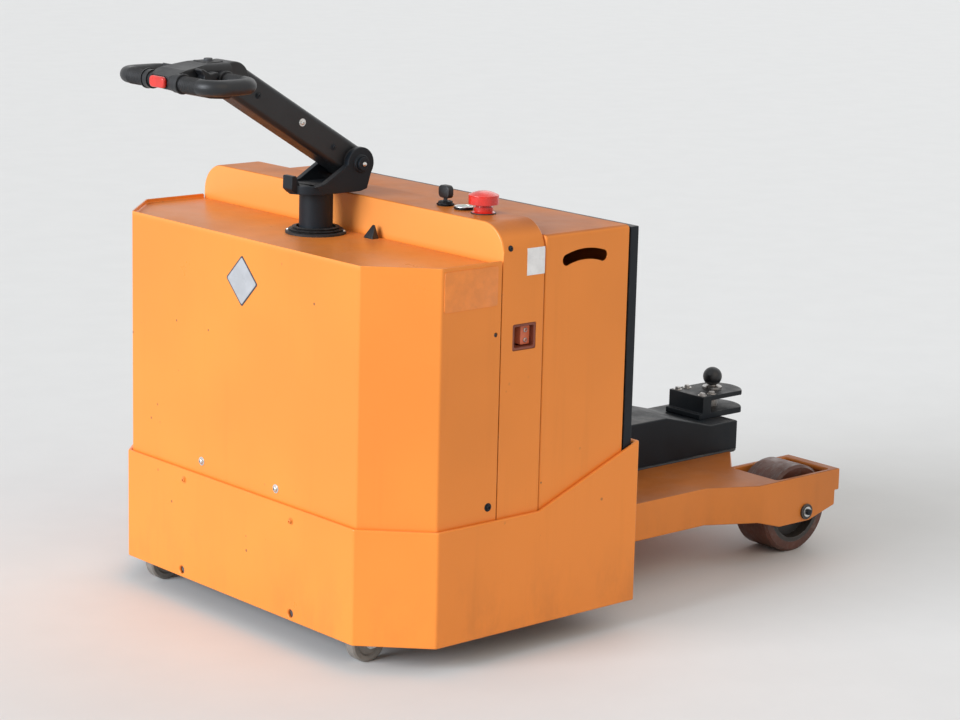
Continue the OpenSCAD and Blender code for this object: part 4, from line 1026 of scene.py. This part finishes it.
def arm_fittings():
    """Screws along the arm and the pivot's grease nipples."""
    pin_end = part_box("pivot_pin")[1].y
    cheek, elbow_cheek = 0.0288, 0.0298
    nipple = [(0.0040, -0.0005), (0.0040, 0.0014), (0.0030, 0.0020), (0.0030, 0.0036), (0.0016, 0.0050)]
    bright, dark = bmesh.new(), bmesh.new()
    for side in (LEFT, RIGHT):
        out = (0, side, 0)
        socket_screw(bright, facing(along_arm(0.149, 0.005, side * cheek), out), r=0.0045)
        lathe(bright, facing((PIVOT.x, side * pin_end, PIVOT.z), out), nipple, 16)
        for u in (0.062, 0.262):
            socket_screw(dark, facing(along_arm(u, 0.0, side * cheek), out, u), r=0.0040)
        socket_screw(dark, facing((ELBOW.x, side * elbow_cheek, ELBOW.z), out), r=0.0040)
    piece("arm_screws", bright, "tiller", ZINC)
    piece("arm_dark_screws", dark, "tiller", BLACK)


def grip_fittings():
    """A collar at each root of the grips, and the ribs that follow it."""
    grip_z = ELBOW.z + 0.001
    root_xs, root_y = (ELBOW.x + 0.034, ELBOW.x + 0.126), 0.0500
    collar = [(0.0178, 0), (0.0178, 0.003), (0.0168, 0.0042), (0.0150, 0.0042)]
    rib_count, first_rib, rib_pitch = 9, 0.0600, 0.005
    collars, ribs = bmesh.new(), bmesh.new()
    for side in (LEFT, RIGHT):
        for x in root_xs:
            lathe(collars, facing((x, side * root_y, grip_z), (0, side, 0)), collar, 28)
            for k in range(rib_count):
                rib = facing((x, side * (first_rib + rib_pitch * k), grip_z), (0, side, 0))
                ring_torus(ribs, rib, 0.0138, 0.0009, 28, 6)
    piece("grip_collars", collars, "tiller", TILLER)
    piece("grip_ribs", ribs, "tiller", GRIP)


def head_fittings():
    """The small panel on the head, its four pins and its horn button."""
    slope = Vector((0.0215, 0, 1))
    top = facing((ELBOW.x + 0.036, 0, ELBOW.z + 0.0304), slope)
    pin_x, pin_y, sunk_in = 0.020, 0.014, 0.0011
    pin = [(0.0021, 0), (0.0020, 0.0005), (0.0012, 0.0008)]
    button = [(0.0098, 0), (0.0098, 0.0012), (0.0080, 0.0016), (0.0078, 0.0040), (0.0070, 0.0050),
              (0.0030, 0.0054)]
    bm = bmesh.new()
    slab(bm, top, width=0.048, height=0.036, radius=0.006, thickness=0.0012, edge=0.0004)
    for sx in (-1, 1):
        for sy in (-1, 1):
            lathe(bm, top @ Matrix.Translation((sx * pin_x, sy * pin_y, sunk_in)), pin, 14)
    piece("head_panel", bm, "tiller", GRIP)
    bm = bmesh.new()
    lathe(bm, top @ Matrix.Translation((0, 0, sunk_in)), button, 28)
    piece("horn_button", bm, "tiller", CASE)


def load_wheel_fittings():
    """A dark bolt on a bright washer at each end of the load axles."""
    washer = [(0.0105, -0.0008), (0.0108, 0.0006), (0.0104, 0.0014), (0.0050, 0.0014)]
    for side, word in SIDES:
        low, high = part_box("load_axle_" + word)
        outer, inner = (high.y, low.y) if side > 0 else (low.y, high.y)
        washers, heads = bmesh.new(), bmesh.new()
        for y, way in ((outer, side), (inner, -side)):
            end = facing((WHEEL_X, y, WHEEL_R), (0, way, 0), 0.35)
            lathe(washers, end, washer, 28)
            hex_bolt(heads, end @ Matrix.Translation((0, 0, 0.0013)), r=0.0068, washer=False)
        piece("axle_washers_" + word, washers, "chassis", ZINC)
        piece("axle_bolts_" + word, heads, "chassis", BLACK)


def frame_welds():
    """Weld round the drawbar box's foot and where the deck meets the bulkhead."""
    z = DECK_TOP + 0.0008
    box_y, box_front, box_back = 0.0958, -0.010, -0.655
    end_x, end_y = -0.6608, 0.090
    deck_x, deck_inner, deck_outer = BULKHEAD_BACK - 0.001, 0.102, 0.274
    bm = bmesh.new()
    for side in (LEFT, RIGHT):
        weld_bead(bm, (box_back, side * box_y, z), (box_front, side * box_y, z), r=0.0036)
    weld_bead(bm, (end_x, -end_y, z), (end_x, end_y, z), r=0.0036)
    piece("drawbar_welds", bm, "chassis", WELD_BLACK)
    bm = bmesh.new()
    for side in (LEFT, RIGHT):
        weld_bead(bm, (deck_x, side * deck_inner, z), (deck_x, side * deck_outer, z), r=0.0038)
    piece("deck_welds", bm, "chassis", WELD_ORANGE)


def hitch_fittings():
    """Bolts on the jaw."""
    bolt_xs, bolt_y, jaw_top = (-0.612, -0.640), 0.036, 0.276
    bm = bmesh.new()
    for side in (LEFT, RIGHT):
        for x in bolt_xs:
            hex_bolt(bm, facing((x, side * bolt_y, jaw_top), UP, 0.2 * side), r=0.0062)
    piece("jaw_bolts", bm, "chassis", STEEL)


def bulkhead_fittings():
    """A row of bolts down each side of the rear bulkhead, and its cable holes' grommets."""
    bolt_y, bolt_heights = 0.418, (0.30, 0.43, 0.56, 0.69)
    hole_y, hole_z = 0.252, DECK_TOP + 0.038
    bolts, grommets = bmesh.new(), bmesh.new()
    for side in (LEFT, RIGHT):
        for z in bolt_heights:
            hex_bolt(bolts, facing((BULKHEAD_BACK, side * bolt_y, z), BACKWARD, z), r=0.0062)
        ring_torus(grommets, facing((BULKHEAD_BACK, side * hole_y, hole_z), BACKWARD), 0.0132, 0.0021, 32, 10)
    piece("bulkhead_bolts", bolts, "chassis", ZINC)
    piece("cable_grommets", grommets, "chassis", BOOT)


def caster_fittings():
    """Axle nuts of the casters."""
    sink = 0.0004
    for _, word in SIDES:
        low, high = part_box("caster_fork_" + word)
        wheel_low, wheel_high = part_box("caster_wheel_" + word)
        axle = (wheel_low + wheel_high) / 2
        bm = bmesh.new()
        hex_bolt(bm, facing((axle.x, high.y - sink, axle.z), LEFTWARD), r=0.0056)
        hex_bolt(bm, facing((axle.x, low.y + sink, axle.z), (0, -1, 0)), r=0.0056)
        piece("caster_nuts_" + word, bm, "caster_" + word, ZINC)


def make_stage():
    """A wide pale floor with the tug's shadow on it."""
    bm = bmesh.new()
    ring = ring_at(bm, Matrix.Identity(4), 0.0, FLOOR_R, 96)
    bm.faces.new(ring)
    mesh = bpy.data.meshes.new("floor")
    bm.to_mesh(mesh)
    bm.free()
    mesh.materials.append(floor_paint())
    floor = bpy.data.objects.new("floor", mesh)
    bpy.context.scene.collection.objects.link(floor)


body_screws()
plates()
lock_and_socket()
stop_fittings()
gauge_and_key()
tray_fittings()
arm_fittings()
grip_fittings()
head_fittings()
load_wheel_fittings()
frame_welds()
hitch_fittings()
bulkhead_fittings()
caster_fittings()
make_stage()

bpy.context.scene.view_settings.view_transform = "Standard"
